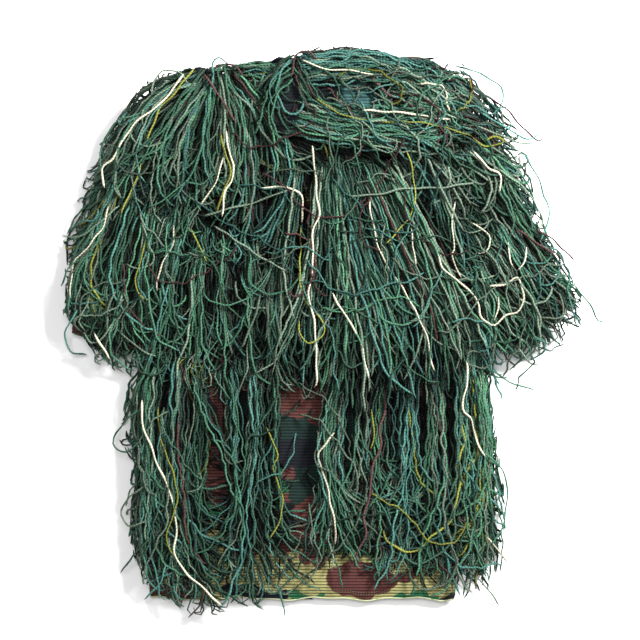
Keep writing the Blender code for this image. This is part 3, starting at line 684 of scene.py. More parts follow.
def wanderers(pile):
    """Loose yarns that cross the pile in long lazy curves."""
    rng = seeded("wanderers")
    for body, count, low, high, heading, spread in FIELDS:
        mix = LOOSE_HOOD_MIX if body == "hood" else LOOSE_MIX
        for _ in range(count):
            length = rng.uniform(0.07, 0.24)
            samples = int(length / LOOSE_SAMPLE)
            start = rng.uniform(low, high)
            t = np.linspace(0, 1, samples)
            angle = np.radians(heading + rng.normal(0, spread))
            angle = angle + rng.normal(0, 0.8) * t + rng.normal(0, 1.6) * t ** 3
            for cycles, swing in ((1.2, 0.45), (length / 0.045, 0.35), (length / 0.022, 0.30)):
                angle += swing * rng.uniform(0.4, 1) * np.sin(2 * np.pi * (cycles * t + rng.uniform(0, 1)))
            course = start + np.cumsum(np.column_stack([np.cos(angle), np.sin(angle)]), 0) * length / samples
            x, y = kept_inside(course[None, :, 0], course[None, :, 1], rng.uniform(0, 0.02))
            course = np.column_stack([x[0], y[0]])
            if np.linalg.norm(course[-1] - course[0]) > SHORTEST_LOOSE:
                lay(pile, rng, body, rng.choice(list(mix), p=list(mix.values())), course,
                    rng.uniform(0.0012, 0.0016), rng.uniform(0.15, 0.75))


# yarns that stand out: (body, colour, radius, courses in mm)
WISP, THIN, THICK = 0.0015, 0.0013, 0.0017

ACCENTS = (
("jacket", "cream", THICK, (-232, 410, -266, 365, -294, 342, -322, 315, -339, 288, -346, 275, -363, 262, -357,
     232), (-165, 322, -157, 286, -149, 264, -154, 242, -166, 221, -171, 187)),
("jacket", "olive", THICK, (-171, 318, -163, 286, -156, 262, -161, 240, -172, 219, -178, 190),),
("jacket", "cream", THIN, (-168, 280, -176, 254, -184, 235, -206, 202),),
("left_sleeve", "cream", THIN, (-350, 203, -358, 168, -373, 149, -395, 126, -408, 115, -411, 88, -411, 58),),
("jacket", "cream", THIN, (-246, 174, -246, 149, -256, 126, -267, 107, -274, 80, -275, 67),),
("left_sleeve", "cream", THICK, (-373, 2, -360, -18, -350, -40),),
("jacket", "cream", THICK, (-110, 232, -80, 235, -51, 227, -42, 214, -43, 194, -46, 176), (-27, 296, -22, 269,
     -18, 216, -16, 187, -27, 160, -27, 125, -27, 93, -32, 69, -27, 40, -21, 13, -21, -32, -21, -74, -26,
     -86)),
("jacket", "cream", THIN, (64, 214, 66, 192, 74, 149, 85, 120, 101, 96, 126, 58, 142, 26, 155, 2, 160, -29,
     166, -58),),
("jacket", "cream", THICK, (6, 66, 27, 29, 48, -13, 59, -51, 64, -69),),
("jacket", "cream", THIN, (128, 170, 134, 130, 139, 109), (198, 210, 194, 170, 200, 138, 197, 126, 203, 104,
     211, 88)),
("right_sleeve", "cream", THIN, (227, 176, 253, 158, 256, 142, 250, 131, 237, 128),),
("right_sleeve", "cream", THICK, (171, 125, 181, 102, 208, 82, 234, 58, 238, 29, 253, 18, 264, 14, 283, 29,
     302, 35, 309, 53, 306, 75, 298, 91, 278, 80, 253, 74),),
("right_sleeve", "cream", THIN, (315, 138, 309, 114, 299, 99), (286, 146, 288, 118, 293, 107), (269, 58, 270,
     40, 264, 21)),
("jacket", "cream", THICK, (219, -43, 222, -75, 216, -99, 216, -122, 230, -138, 237, -171, 250, -197),),
("hood", "cream", THICK, (230, 291, 253, 264, 269, 253, 270, 224), (50, 352, 94, 347, 126, 347, 160, 342, 189,
     336)),
("hood", "cream", THIN, (-45, 432, -10, 418, 40, 412, 75, 405),),
("jacket", "cream", THICK, (-298, -106, -299, -141, -283, -184, -270, -218, -256, -245, -248, -272, -243,
     -307, -248, -352, -232, -379, -205, -405, -171, -438), (8, -157, -14, -189, -14, -208, -5, -238, 3, -277,
     11, -301, 11, -338)),
("jacket", "olive", THICK, (-216, 421, -243, 381, -266, 358, -277, 331, -288, 309),),
("jacket", "olive", THIN, (-299, 269, -306, 242, -317, 219, -330, 192), (-290, 158, -299, 118, -306, 88, -301,
     64, -283, 53), (-219, 168, -206, 141, -194, 115), (-46, 170, -46, 102, -40, 59, -27, 40, -10, 19, -11,
     -2, -32, -13, -45, 2, -48, 19), (123, 286, 134, 253, 134, 203, 107, 163, 88, 141), (-274, -117, -266,
     -173, -251, -218, -243, -262, -254, -307, -259, -333, -243, -360), (-99, -150, -83, -190, -90, -215, -75,
     -262, -78, -300, -94, -328), (69, -118, 70, -166, 66, -187)),
("hood", "olive", THIN, (-20, 370, 20, 345, 70, 336, 150, 330, 226, 312),),
("hood", "olive", THICK, (226, 310, 250, 296, 278, 305, 262, 314, 246, 306),),
("jacket", "brown", THICK, (-200, 410, -179, 386, -160, 358, -146, 336), (-190, 414, -170, 427, -148, 422,
     -135, 408)),
("hood", "brown", THICK, (-60, 405, -54, 438, -35, 445, -20, 430),),
("right_sleeve", "brown", THICK, (300, 165, 338, 138, 365, 120),),
("jacket", "sage", THICK, (29, 218, 75, 219, 125, 230, 180, 233, 230, 242), (-198, 190, -126, 206, -62, 230),
     (-182, 174, -126, 134, -70, 102)),
("hood", "teal", WISP, (202, 426, 242, 414, 270, 398, 278, 374, 269, 350),),
("hood", "brown", WISP, (255, 375, 290, 350, 318, 325, 340, 312, 349, 320),),
("hood", "teal", WISP, (235, 352, 282, 327, 316, 312, 338, 322),),
("hood", "sage", WISP, (232, 330, 278, 312, 308, 303, 332, 304),),
("right_sleeve", "green", WISP, (262, 285, 298, 262, 323, 232, 336, 200),),
("right_sleeve", "sage", WISP, (270, 262, 308, 235, 332, 205, 342, 180, 334, 165),),
("right_sleeve", "teal", WISP, (308, 288, 333, 255, 354, 208, 350, 176, 336, 150),),
("right_sleeve", "brown", WISP, (330, 168, 358, 150, 398, 118),),
("right_sleeve", "green", WISP, (395, 80, 420, 45, 436, 22, 449, 21),),
("right_sleeve", "sage", WISP, (300, -20, 322, -45, 345, -50),),
("left_sleeve", "sage", WISP, (-334, 203, -378, 166, -405, 156, -428, 158),),
("left_sleeve", "green", WISP, (-370, 130, -412, 110, -432, 75),),
("left_sleeve", "teal", WISP, (-400, 40, -425, 0, -418, -30, -396, -35),),
("jacket", "green", WISP, (-300, 350, -340, 335, -366, 290, -358, 250),),
("jacket", "sage", WISP, (-282, 379, -276, 402, -262, 421, -236, 414, -222, 396),),
("jacket", "teal", WISP, (-182, 410, -186, 430, -176, 440, -160, 430),),
("jacket", "green", WISP, (-304, -118, -331, -146, -350, -178, -328, -189, -301, -170),),
("jacket", "sage", WISP, (-290, -240, -320, -262, -334, -290, -318, -308, -292, -300),),
("jacket", "deep_green", WISP, (-285, -325, -312, -352, -339, -389),),
("jacket", "teal", WISP, (-262, -370, -275, -405, -298, -430),),
("jacket", "brown", WISP, (-200, -405, -206, -435, -226, -458),),
("jacket", "teal", WISP, (-86, -400, -74, -432, -70, -462),),
("jacket", "green", WISP, (250, -190, 282, -225, 290, -262, 284, -312, 262, -342),),
("jacket", "sage", WISP, (240, -395, 262, -420, 276, -446),),
("jacket", "green", WISP, (262, -60, 300, -82, 336, -93),),
("jacket", "cream", WISP, (255, -330, 272, -350, 290, -372),),
)


# ---- meshes from the yarns ----

def tube_arrays(points, radii):
    """Vertices, faces and texture places of tubes along (yarns, samples, 3) points, closed at both ends."""
    count, samples = radii.shape
    along = np.gradient(points, axis=1)
    along /= np.linalg.norm(along, axis=2, keepdims=True) + 1e-12
    side = np.cross(along, np.array([0.0, 0.0, 1.0]))
    side /= np.linalg.norm(side, axis=2, keepdims=True) + 1e-9
    up = np.cross(side, along)
    taper = np.ones(samples)
    taper[0], taper[-1] = 0.5, 0.35
    turn = 2 * np.pi * np.arange(SIDES) / SIDES
    ring = (np.cos(turn)[:, None] * side[:, :, None, :] + np.sin(turn)[:, None] * up[:, :, None, :])
    vertices = points[:, :, None, :] + ring * (radii * taper)[:, :, None, None]

    index = np.arange(count * samples * SIDES).reshape(count, samples, SIDES)
    after = np.roll(index, -1, axis=2)
    quads = np.stack([index[:, :-1], after[:, :-1], after[:, 1:], index[:, 1:]], -1).reshape(-1, 4)
    caps = np.concatenate([index[:, 0, ::-1], index[:, -1]], 0)
    distance = np.cumsum(np.r_["1", np.zeros((count, 1)), np.linalg.norm(np.diff(points, axis=1), axis=2)], 1)
    return vertices.reshape(-1, 3), quads, caps, distance


def new_piece(name, mesh, *materials):
    """An object with this mesh, shaded smooth, in the scene."""
    mesh.shade_smooth()
    for material in materials:
        mesh.materials.append(material)
    piece = bpy.data.objects.new(name, mesh)
    bpy.context.scene.collection.objects.link(piece)
    return piece


def painted_pile_light(body, points, radii):
    """The painted light of each place on yarns, baked into their colour: 1 on top of the pile, and least deep
    down in it, as painted shade.
    """
    pile = piles[body]
    depth = pile.crest[tuple(np.moveaxis(pile.cells(points[..., :2]), -1, 0))] - points[..., 2] - radii
    light = np.exp(-(np.clip(depth, 0, 1) / BURIED) ** 1.45)
    if body != "hood":
        light = 1 - (1 - light) * np.exp(-(outside(points[..., 0], points[..., 1]) / FRINGE_LIGHT) ** 2)
    return light


def build_yarns(name, body, groups):
    """One mesh of a row's yarns in one family of colours."""
    vertices, loops, sizes, coords, tints, depths, inks, base = [], [], [], [], [], [], [], 0
    colours = sorted({colour for colour, *_ in groups})
    for colour, points, radii, tint in groups:
        part, quads, caps, distance = tube_arrays(points, radii)
        count, samples = radii.shape
        vertices.append(part)
        loops += [(quads + base).ravel(), (caps + base).ravel()]
        sizes += [np.full(len(quads), 4), np.full(len(caps), SIDES)]
        inks.append(np.full(len(quads) + len(caps), colours.index(colour)))
        u0 = np.broadcast_to(np.arange(SIDES) / SIDES, (count, samples - 1, SIDES))
        v0 = np.broadcast_to(distance[:, :-1, None], u0.shape)
        v1 = np.broadcast_to(distance[:, 1:, None], u0.shape)
        u1 = u0 + 1 / SIDES
        corners = [np.stack(corner, -1) for corner in ((u0, v0), (u1, v0), (u1, v1), (u0, v1))]
        coords += [np.stack(corners, 3).reshape(-1, 2), np.zeros((caps.size, 2))]
        tints.append(np.repeat(tint, samples * SIDES))
        depths.append(np.repeat(painted_pile_light(body, points, radii).reshape(-1), SIDES))
        base += len(part)
    vertices, loops, sizes = (np.concatenate(part) for part in (vertices, loops, sizes))
    mesh = bpy.data.meshes.new(name)
    mesh.vertices.add(len(vertices))
    mesh.vertices.foreach_set("co", vertices.astype(np.float32).ravel())
    mesh.loops.add(len(loops))
    mesh.loops.foreach_set("vertex_index", loops.astype(np.int32))
    mesh.polygons.add(len(sizes))
    mesh.polygons.foreach_set("loop_start", (np.cumsum(sizes) - sizes).astype(np.int32))
    mesh.uv_layers.new(name="yarn").data.foreach_set("uv", np.concatenate(coords).astype(np.float32).ravel())
    # tint holds each yarn's tone and its painted light; open holds the painted shade deep in the pile
    for key, values in (("tint", tints), ("open", depths)):
        layer = mesh.attributes.new(key, "FLOAT", "POINT")
        layer.data.foreach_set("value", np.concatenate(values).astype(np.float32))
    for colour in colours:
        mesh.materials.append(yarn_material(colour))
    mesh.polygons.foreach_set("material_index", np.concatenate(inks).astype(np.int32))
    mesh.update(calc_edges=True)
    piece = new_piece(name, mesh)
    return piece


# ---- materials ----

class Shader:
    """A material's nodes, with short ways to add them."""

    def __init__(self, name):
        self.material = bpy.data.materials.new(name)
        self.material.use_nodes = True
        self.tree = self.material.node_tree

    def put(self, node, inputs):
        """Links or sets a node's inputs."""
        for key, value in inputs.items():
            if isinstance(value, bpy.types.NodeSocket):
                self.tree.links.new(value, node.inputs[key])
            else:
                node.inputs[key].default_value = value

    def add(self, kind, inputs=None, **settings):
        node = self.tree.nodes.new(f"ShaderNode{kind}")
        for key, value in settings.items():
            setattr(node, key, value)
        self.put(node, inputs or {})
        return node

    @functools.cached_property
    def place(self):
        return self.add("TexCoord").outputs["Object"]

    def noise(self, scale, detail=2.0, place=None, output="Fac", **inputs):
        inputs = {"Vector": place or self.place, "Scale": scale, "Detail": detail, **inputs}
        return self.add("TexNoise", inputs).outputs[output]

    def maths(self, operation, a, b=0.0, c=0.0, clamped=False):
        return self.add("Math", {0: a, 1: b, 2: c}, operation=operation, use_clamp=clamped).outputs[0]

    def summed(self, a, share_a, b, share_b):
        return self.maths("ADD", self.maths("MULTIPLY", a, share_a), self.maths("MULTIPLY", b, share_b))

    def vector(self, operation, a, b=(0, 0, 0)):
        node = self.add("VectorMath", {0: a, 1: b}, operation=operation)
        return node.outputs["Value" if operation == "LENGTH" else "Vector"]

    def mixed(self, factor, a, b, blend="MIX"):
        return self.add("Mix", {0: factor, 6: a, 7: b}, data_type="RGBA", blend_type=blend).outputs[2]

    def shaded(self, colour, light):
        """A colour times a number."""
        grey = self.add("CombineColor", {0: light, 1: light, 2: light}).outputs[0]
        return self.mixed(1.0, colour, grey, "MULTIPLY")

    def finish(self, colour, roughness, specular=0.5, metallic=0.0, relief=None, strength=0.0, height=0.0):
        """The material, with these on its surface; relief is a bump of this strength and height."""
        values = {"Base Color": colour, "Roughness": roughness, "Specular IOR Level": specular,
                  "Metallic": metallic}
        if relief is not None:
            bump = self.add("Bump", {"Height": relief, "Strength": strength, "Distance": height})
            values["Normal"] = bump.outputs[0]
        self.put(self.tree.nodes["Principled BSDF"], values)
        return self.material


PLY_PITCH = 0.0052          # length of yarn in one turn of its plies


@functools.cache
def yarn_material(colour):
    """Plied yarn: painted shade in the grooves between its plies, a tint of its own with painted light in it,
    and painted shade where it lies deep in the pile.
    """
    look = Shader(f"yarn_{colour}")
    base = np.array(YARNS[colour])
    tint, painted_light = (look.add("Attribute", attribute_name=key).outputs["Fac"] for key in ("tint", "open"))
    around, along, _ = look.add("SeparateXYZ", {0: look.add("UVMap", uv_map="yarn").outputs[0]}).outputs
    turns = look.maths("ADD", look.maths("MULTIPLY", around, 2.0), look.maths("DIVIDE", along, PLY_PITCH))
    ply = look.maths("ABSOLUTE", look.maths("SINE", look.maths("MULTIPLY", turns, math.pi)))
    fuzz = look.noise(520.0)
    # the ramp turns the tint, which holds tone and painted light, and a noise of tone into a colour from dark
    # to light
    ramp = look.add("ValToRGB", {0: look.summed(tint, 0.85, look.noise(26.0), 0.40)})
    steps = ramp.color_ramp.elements
    steps.new(0.5)
    for step, position, ink in zip(steps, (0.05, 0.50, 1.0), (base * 0.2, base * 1.0, base * 2.85 + 0.014)):
        step.position, step.color = position, (*np.minimum(ink, 0.9), 1)
    # painted shade: the colour darkens in the grooves between the plies and deep in the pile; the fuzz noise
    # is tone
    groove = look.maths("MULTIPLY", look.summed(ply, 0.35, fuzz, 0.9),
                        look.maths("ADD", look.maths("MULTIPLY", painted_light, 0.96), 0.04))
    relief = look.summed(ply, 1.0, fuzz, 0.6)
    colour = look.shaded(ramp.outputs[0], groove)
    return look.finish(colour, 0.75, 0.15, relief=relief, strength=0.7, height=0.0006)


RIB_PITCH = 0.0050
INKS = {"tan": (0.330, 0.310, 0.125, 1), "green": (0.018, 0.120, 0.048, 1), "brown": (0.090, 0.030, 0.025, 1),
        "black": (0.006, 0.008, 0.012, 1), "night": (0.008, 0.022, 0.018, 1),
        "teal": (0.030, 0.085, 0.085, 1), "maroon": (0.070, 0.022, 0.026, 1)}
# the print's ground, and the patches over it: (ink, its noise's place and scale, the level it shows above)
JACKET_INKS = ("tan", ("green", (0.3, 0.1, 0), 9.0, 0.47), ("brown", (4.2, 1.7, 0), 8.0, 0.46),
               ("black", (8.1, 3.3, 0), 9.5, 0.56))
HOOD_INKS = ("teal", ("maroon", (2.1, 1.3, 0), 10.0, 0.50), ("black", (5.6, 0.9, 0), 9.0, 0.54))
# the print where it shows between the bundles: (x, y, half-width, half-height, ink)
PRINT = (
    (-0.020, -0.400, 0.260, 0.050, "tan"), (-0.030, -0.150, 0.060, 0.040, "night"),
    (-0.055, -0.110, 0.030, 0.026, "brown"), (-0.012, -0.120, 0.022, 0.022, "brown"),
    (-0.050, -0.195, 0.045, 0.022, "black"), (-0.030, -0.245, 0.050, 0.034, "night"),
    (-0.064, -0.230, 0.014, 0.017, "brown"), (-0.028, -0.320, 0.030, 0.060, "brown"),
    (-0.180, -0.250, 0.030, 0.030, "brown"), (-0.180, -0.330, 0.024, 0.040, "tan"),
    (0.050, -0.396, 0.062, 0.034, "brown"), (0.020, -0.170, 0.020, 0.090, "night"),
    (-0.040, -0.428, 0.030, 0.009, "green"), (0.144, -0.428, 0.034, 0.010, "green"),
    (-0.085, -0.426, 0.022, 0.012, "black"), (-0.140, -0.420, 0.040, 0.020, "black"),
    (-0.230, -0.400, 0.035, 0.030, "brown"), (0.120, -0.396, 0.018, 0.008, "brown"))
PRINT_EDGE = 18.0           # how sharply such a patch ends


@functools.cache
def camo_material(name="camo_mesh"):
    """Printed mesh: camouflage over horizontal ribs, with painted shade between the ribs and patches of its
    own where the back shows.
    """
    look = Shader(name)
    stretched = look.add("Mapping", {"Vector": look.place, "Scale": (0.75, 1.2, 1.0)}).outputs[0]
    ground, *layers = HOOD_INKS if name == "hood_mesh" else JACKET_INKS
    colour = INKS[ground]
    for ink, offset, scale, level in layers:
        moved = look.add("Mapping", {"Vector": stretched, "Location": offset}).outputs[0]
        ramp = look.add("ValToRGB", {0: look.noise(scale, 2.5, moved, Roughness=0.45, Distortion=0.6)})
        for step, position in zip(ramp.color_ramp.elements, (level, level + 0.012)):
            step.position = position
        colour = look.mixed(ramp.outputs[0], colour, INKS[ink])
    if name == "back_mesh":
        warp = look.vector("SUBTRACT", look.noise(30.0, output="Color"), (0.5, 0.5, 0.5))
        bent = look.vector("ADD", look.place, look.vector("MULTIPLY", warp, (0.06, 0.04, 0.0)))
        for x, y, half_width, half_height, ink in PRINT:
            away = look.vector("MULTIPLY", look.vector("SUBTRACT", bent, (x, y, 0)),
                               (1 / half_width, 1 / half_height, 0))
            within = look.maths("SUBTRACT", 1.0, look.vector("LENGTH", away))
            colour = look.mixed(look.maths("MULTIPLY", within, PRINT_EDGE, clamped=True), colour, INKS[ink])
    y = look.add("SeparateXYZ", {0: look.place}).outputs[1]
    # painted shade: the colour darkens in the grooves between the ribs; the thread noise is tone
    rib = look.maths("SINE", look.maths("MULTIPLY", y, 2 * math.pi / RIB_PITCH))
    thread = look.noise(420.0, 3.0)
    light = look.summed(look.maths("MULTIPLY_ADD", rib, 0.5, 0.5), 0.62, thread, 0.5)
    return look.finish(look.shaded(colour, light), 0.85, 0.15, relief=thread, strength=0.5, height=0.0005)


def trim_material(name, colour, roughness, metallic=0.0, grain=900.0, weave=0.0):
    """A trim's material: its colour with fine grain, and a weave of this pitch where one is given."""
    look = Shader(name)
    noise = relief = look.noise(grain, 3.0)
    if weave:
        x, y, _ = look.add("SeparateXYZ", {0: look.place}).outputs
        across, along = (look.maths("SINE", look.maths("MULTIPLY", v, 2 * math.pi / weave)) for v in (x, y))
        relief = look.maths("ADD", look.maths("MULTIPLY", across, along), noise)
    base = np.array(colour)
    spread = look.mixed(noise, (*(base * 0.6), 1), (*np.minimum(base * 1.4, 1), 1))
    return look.finish(spread, roughness, metallic=metallic, relief=relief, strength=0.4, height=0.0004)


# ---- cloth ----

def grid_sheet(name, columns, rows, surface, material, thickness=0.0008):
    """A sheet of cloth with a thickness, as a grid: surface(u, v) gives (x, y, z) for arrays in 0..1."""
    u, v = np.meshgrid(np.linspace(0, 1, columns), np.linspace(0, 1, rows))
    x, y, z = surface(u, v)
    vertices = np.stack([x, y, z], -1).reshape(-1, 3)
    index = np.arange(columns * rows).reshape(rows, columns)
    quads = np.stack([index[:-1, :-1], index[:-1, 1:], index[1:, 1:], index[1:, :-1]], -1).reshape(-1, 4)
    mesh = bpy.data.meshes.new(name)
    mesh.from_pydata(vertices.tolist(), [], quads.tolist())
    piece = new_piece(name, mesh, material)
    solid = piece.modifiers.new("thickness", "SOLIDIFY")
    solid.thickness, solid.offset = thickness, 0
    return piece


def torso_half_width(y, inset=0.0):
    """Half the torso's width at a height, narrowing into the armholes and the shoulders."""
    share = np.clip((y - 0.20) / 0.10, 0, 1)
    return TORSO_HALF - 0.003 - inset - 0.050 * share * share * (3 - 2 * share)


def torso_top(x, drop):
    """The height of the torso's top edge: a scooped neck between sloping shoulders."""
    across = np.abs(x - TORSO_X)
    scoop = drop * np.clip(1 - (across / 0.095) ** 2, 0, 1)
    return NECK_Y - 0.006 - scoop - 0.037 * np.clip((across - 0.085) / 0.115, 0, 1)


def cloth_waves(x, y):
    return 0.0011 * np.sin(38 * x + 2.2 * np.sin(13 * y)) + 0.0009 * np.sin(31 * y + 17 * x)


def ribs(y):
    return 0.00055 * np.sin(2 * np.pi * y / RIB_PITCH)


HEM_DROOP, CUFF_DROOP = 0.0085, 0.012


def droop(distance, depth):
    """How far a sheet's free end sags towards the floor, from its edge inwards."""
    return depth * np.exp(-(distance / 0.016) ** 1.5)


def back_surface(u, v):
    bottom = HEM_Y + 0.002 + 0.0022 * np.sin(23 * u + 1.0) + 0.0012 * np.sin(51 * u)
    half = torso_half_width(HEM_Y + (NECK_Y - HEM_Y) * v)
    x = TORSO_X + (2 * u - 1) * half
    y = bottom + (torso_top(x, 0.012) - bottom) * v
    edge = 1 - np.abs(2 * u - 1)
    drop = 0.0060 * np.exp(-edge / 0.02)
    return x, y, BACK_Z - 0.0012 - drop - droop(y - bottom, HEM_DROOP) + cloth_waves(x, y) + ribs(y)


def front_surface(side):
    def surface(u, v):
        bottom = HEM_Y + 0.003
        half = torso_half_width(HEM_Y + (NECK_Y - HEM_Y) * v, 0.002)
        x = TORSO_X + side * (0.0145 + (half - 0.0145) * u)
        y = bottom + (torso_top(x, 0.060) - bottom) * v
        lift = 0.0040 * np.exp(-(1 - u) / 0.04)
        sag = droop(y - bottom, HEM_DROOP)
        return x, y, FRONT_Z - 0.0009 + lift - sag + 0.3 * np.abs(cloth_waves(x, y)) + 0.5 * ribs(y)
    return surface


def sleeve_surface(sleeve, upper):
    def surface(u, v):
        out = 2 * u - 1
        half = SLEEVE_HALF - 0.003 - 0.034 * np.clip(1 - v / 0.12, 0, 1) ** 2
        down = -0.050 + (sleeve.length + 0.046) * v
        place = sleeve.pivot + sleeve.out * (out * half)[..., None] + sleeve.down * down[..., None]
        crown = np.sqrt(np.clip(1 - out ** 2, 0, 1))
        x, y = place[..., 0], place[..., 1]
        sag = droop((1 - v) * sleeve.length, CUFF_DROOP)
        if upper:
            return x, y, 0.0315 + (SLEEVE_Z - 0.0325) * crown - sag + 0.6 * cloth_waves(x, y) + ribs(down)
        return x, y, 0.0290 - 0.0016 * crown - sag + 0.3 * np.abs(cloth_waves(x, y)) + 0.5 * ribs(down)
    return surface


def hood_surface(upper):
    """The folded hood: a bag lying on its side, rounded at its crown and soft with folds."""
    def surface(u, v):
        left, right = HOOD_LOW[0] + 0.004, HOOD_HIGH[0] - 0.004
        x = left + (right - left) * u
        middle = (HOOD_LOW[1] + HOOD_HIGH[1]) / 2
        half = (HOOD_HIGH[1] - HOOD_LOW[1]) / 2 - 0.004
        end = np.clip((u - 0.72) / 0.28, 0, 1)
        half = half * np.sqrt(np.clip(1 - 0.80 * end ** 2, 0, 1))
        start = np.clip(1 - u / 0.26, 0, 1) ** 2
        half = half * (1 - 0.55 * start)
        y = middle - 0.020 * start + 0.004 * np.sin(9 * u) + (2 * v - 1) * half
        crown = np.clip(1 - (2 * v - 1) ** 6, 0, 1) * np.clip(1 - (2 * u - 1) ** 8, 0, 1)
        folds = 0.0022 * np.sin(70 * (x + 0.45 * y)) + 0.0012 * np.sin(120 * (x - 0.3 * y) + 1)
        if upper:
            return x, y, 0.0812 + (HOOD_Z - 0.0835) * crown + folds * crown + 0.4 * ribs(y)
        return x, y, 0.0768 + 0.0008 * (1 - crown) + 0.15 * np.abs(folds) + 0.4 * ribs(y)
    return surface


def hood_neck_surface(u, v):
    """The hood's neck, from the jacket's neckline up to the fold that the hood lies over."""
    rise = v * v * (3 - 2 * v)
    x = TORSO_X + 0.092 * (2 * u - 1) + (0.055 + 0.075 * u) * v
    y = NECK_Y - 0.020 + 0.006 * (2 * u - 1) ** 2 + 0.028 * v
    return x, y, BACK_Z + 0.0004 + (HOOD_LOW[2] - 0.006 - BACK_Z) * rise + 0.0016 * np.sin(26 * u + 4 * v)


CLOTH_PRINT = {"back_cloth": "back_mesh", "hood_upper_cloth": "hood_mesh", "hood_under_cloth": "hood_mesh",
               "hood_neck_cloth": "hood_mesh"}
HOOD_CUT, NECK_CUT = (0.295, 0.137), (0.24, 0.065)


def make_cloth():
    """Every sheet of cloth, with the CAD pieces it stands for and the size it was cut to."""
    pieces = {}
    width, height = 2 * TORSO_HALF, NECK_Y - HEM_Y
    front_cut = (width / 2, height)
    sheets = [
        ("back_cloth", "jacket", ("back_panel",), 58, 740, back_surface, (width, height)),
        ("front_cloth_left", "jacket", ("front_panel_left",), 30, 420, front_surface(-1), front_cut),
        ("front_cloth_right", "jacket", ("front_panel_right",), 30, 420, front_surface(1), front_cut),
        ("hood_upper_cloth", "hood", ("hood_upper_panel",), 110, 140, hood_surface(True), HOOD_CUT),
        ("hood_under_cloth", "hood", ("hood_under_panel",), 60, 80, hood_surface(False), HOOD_CUT),
        ("hood_neck_cloth", "jacket", (), 60, 34, hood_neck_surface, NECK_CUT),
    ]
    for sleeve in (LEFT, RIGHT):
        cut = (2 * SLEEVE_HALF, sleeve.length + 0.05)
        for part in ("upper", "under"):
            name = f"{sleeve.name}_sleeve_{part}"
            sheets.append((f"{name}_cloth", f"{sleeve.name}_sleeve", (f"{name}_panel",), 26, 330,
                           sleeve_surface(sleeve, part == "upper"), cut))
    for name, body, nodes, columns, rows, surface, flat in sheets:
        piece = grid_sheet(name, columns, rows, surface, camo_material(CLOTH_PRINT.get(name, "camo_mesh")))
        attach(piece, body)
        if nodes:
            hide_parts(*nodes)
        pieces[name] = (piece, flat)
    return pieces


# ---- studio ----

FLOOR_SIZE = 6.0
LAMPS = (("key", (1.5, 1.3, 1.9), 0.7, 245), ("top", (-0.3, 0.6, 3.2), 1.2, 60))    # place, size, power
CAMERA_PLACE = (-0.0144, 0.0224, 2.47)


def make_studio():
    plane = bpy.data.meshes.new("floor")
    corners = [(x * FLOOR_SIZE, y * FLOOR_SIZE, 0) for x, y in ((-1, -1), (1, -1), (1, 1), (-1, 1))]
    plane.from_pydata(corners, [], [(0, 1, 2, 3)])
    floor = new_piece("floor", plane, Shader("floor").finish((0.90, 0.90, 0.90, 1), 0.9, 0.1))
    floor.location.z = -0.0005

    scene = bpy.context.scene
    scene.world = bpy.data.worlds.new("studio")
    scene.world.use_nodes = True
    background = scene.world.node_tree.nodes["Background"]
    background.inputs["Color"].default_value = (1, 1, 1, 1)
    background.inputs["Strength"].default_value = 0.40
    for name, place, size, power in LAMPS:
        light = bpy.data.lights.new(name, "AREA")
        light.shape, light.size, light.energy = "DISK", size, power
        lamp = bpy.data.objects.new(name, light)
        lamp.location = place
        lamp.rotation_euler = Vector(place).to_track_quat("Z", "Y").to_euler()
        scene.collection.objects.link(lamp)

    data = bpy.data.cameras.new("camera")
    data.lens, data.sensor_width = 85, 36
    scene.camera = bpy.data.objects.new("camera", data)
    scene.camera.location = CAMERA_PLACE
    scene.collection.objects.link(scene.camera)
    scene.view_settings.view_transform = "Standard"


# ---- trims ----

def cord(name, body, runs, radius, material, *replaces):
    """Soft rounded cords along sampled runs of points, as one piece, for the CAD pieces it stands for."""
    vertices, faces = [], []
    for run in runs:
        part, quads, caps, _ = tube_arrays(run[None], np.full((1, len(run)), radius))
        base = len(vertices)
        vertices += part.tolist()
        faces += (quads + base).tolist() + (caps + base).tolist()
    mesh = bpy.data.meshes.new(name)
    mesh.from_pydata(vertices, [], faces)
    piece = new_piece(name, mesh, material)
    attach(piece, body)
    if replaces:
        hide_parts(*replaces)


def edge_of(surface, ends, count, drop=0.0):
    """Sampled points along a sheet's edge, from one (u, v) corner to another, lowered by drop."""
    t = np.linspace(0, 1, count)
    (u0, v0), (u1, v1) = ends
    return np.stack(surface(u0 + (u1 - u0) * t, v0 + (v1 - v0) * t), -1) - (0, 0, drop)


HEM_ENDS = ((0, 0), (1, 0))
STITCH_ROWS = (0.010, 0.0135)       # above the hem
STITCH, STITCH_PITCH = 5, 8         # in samples


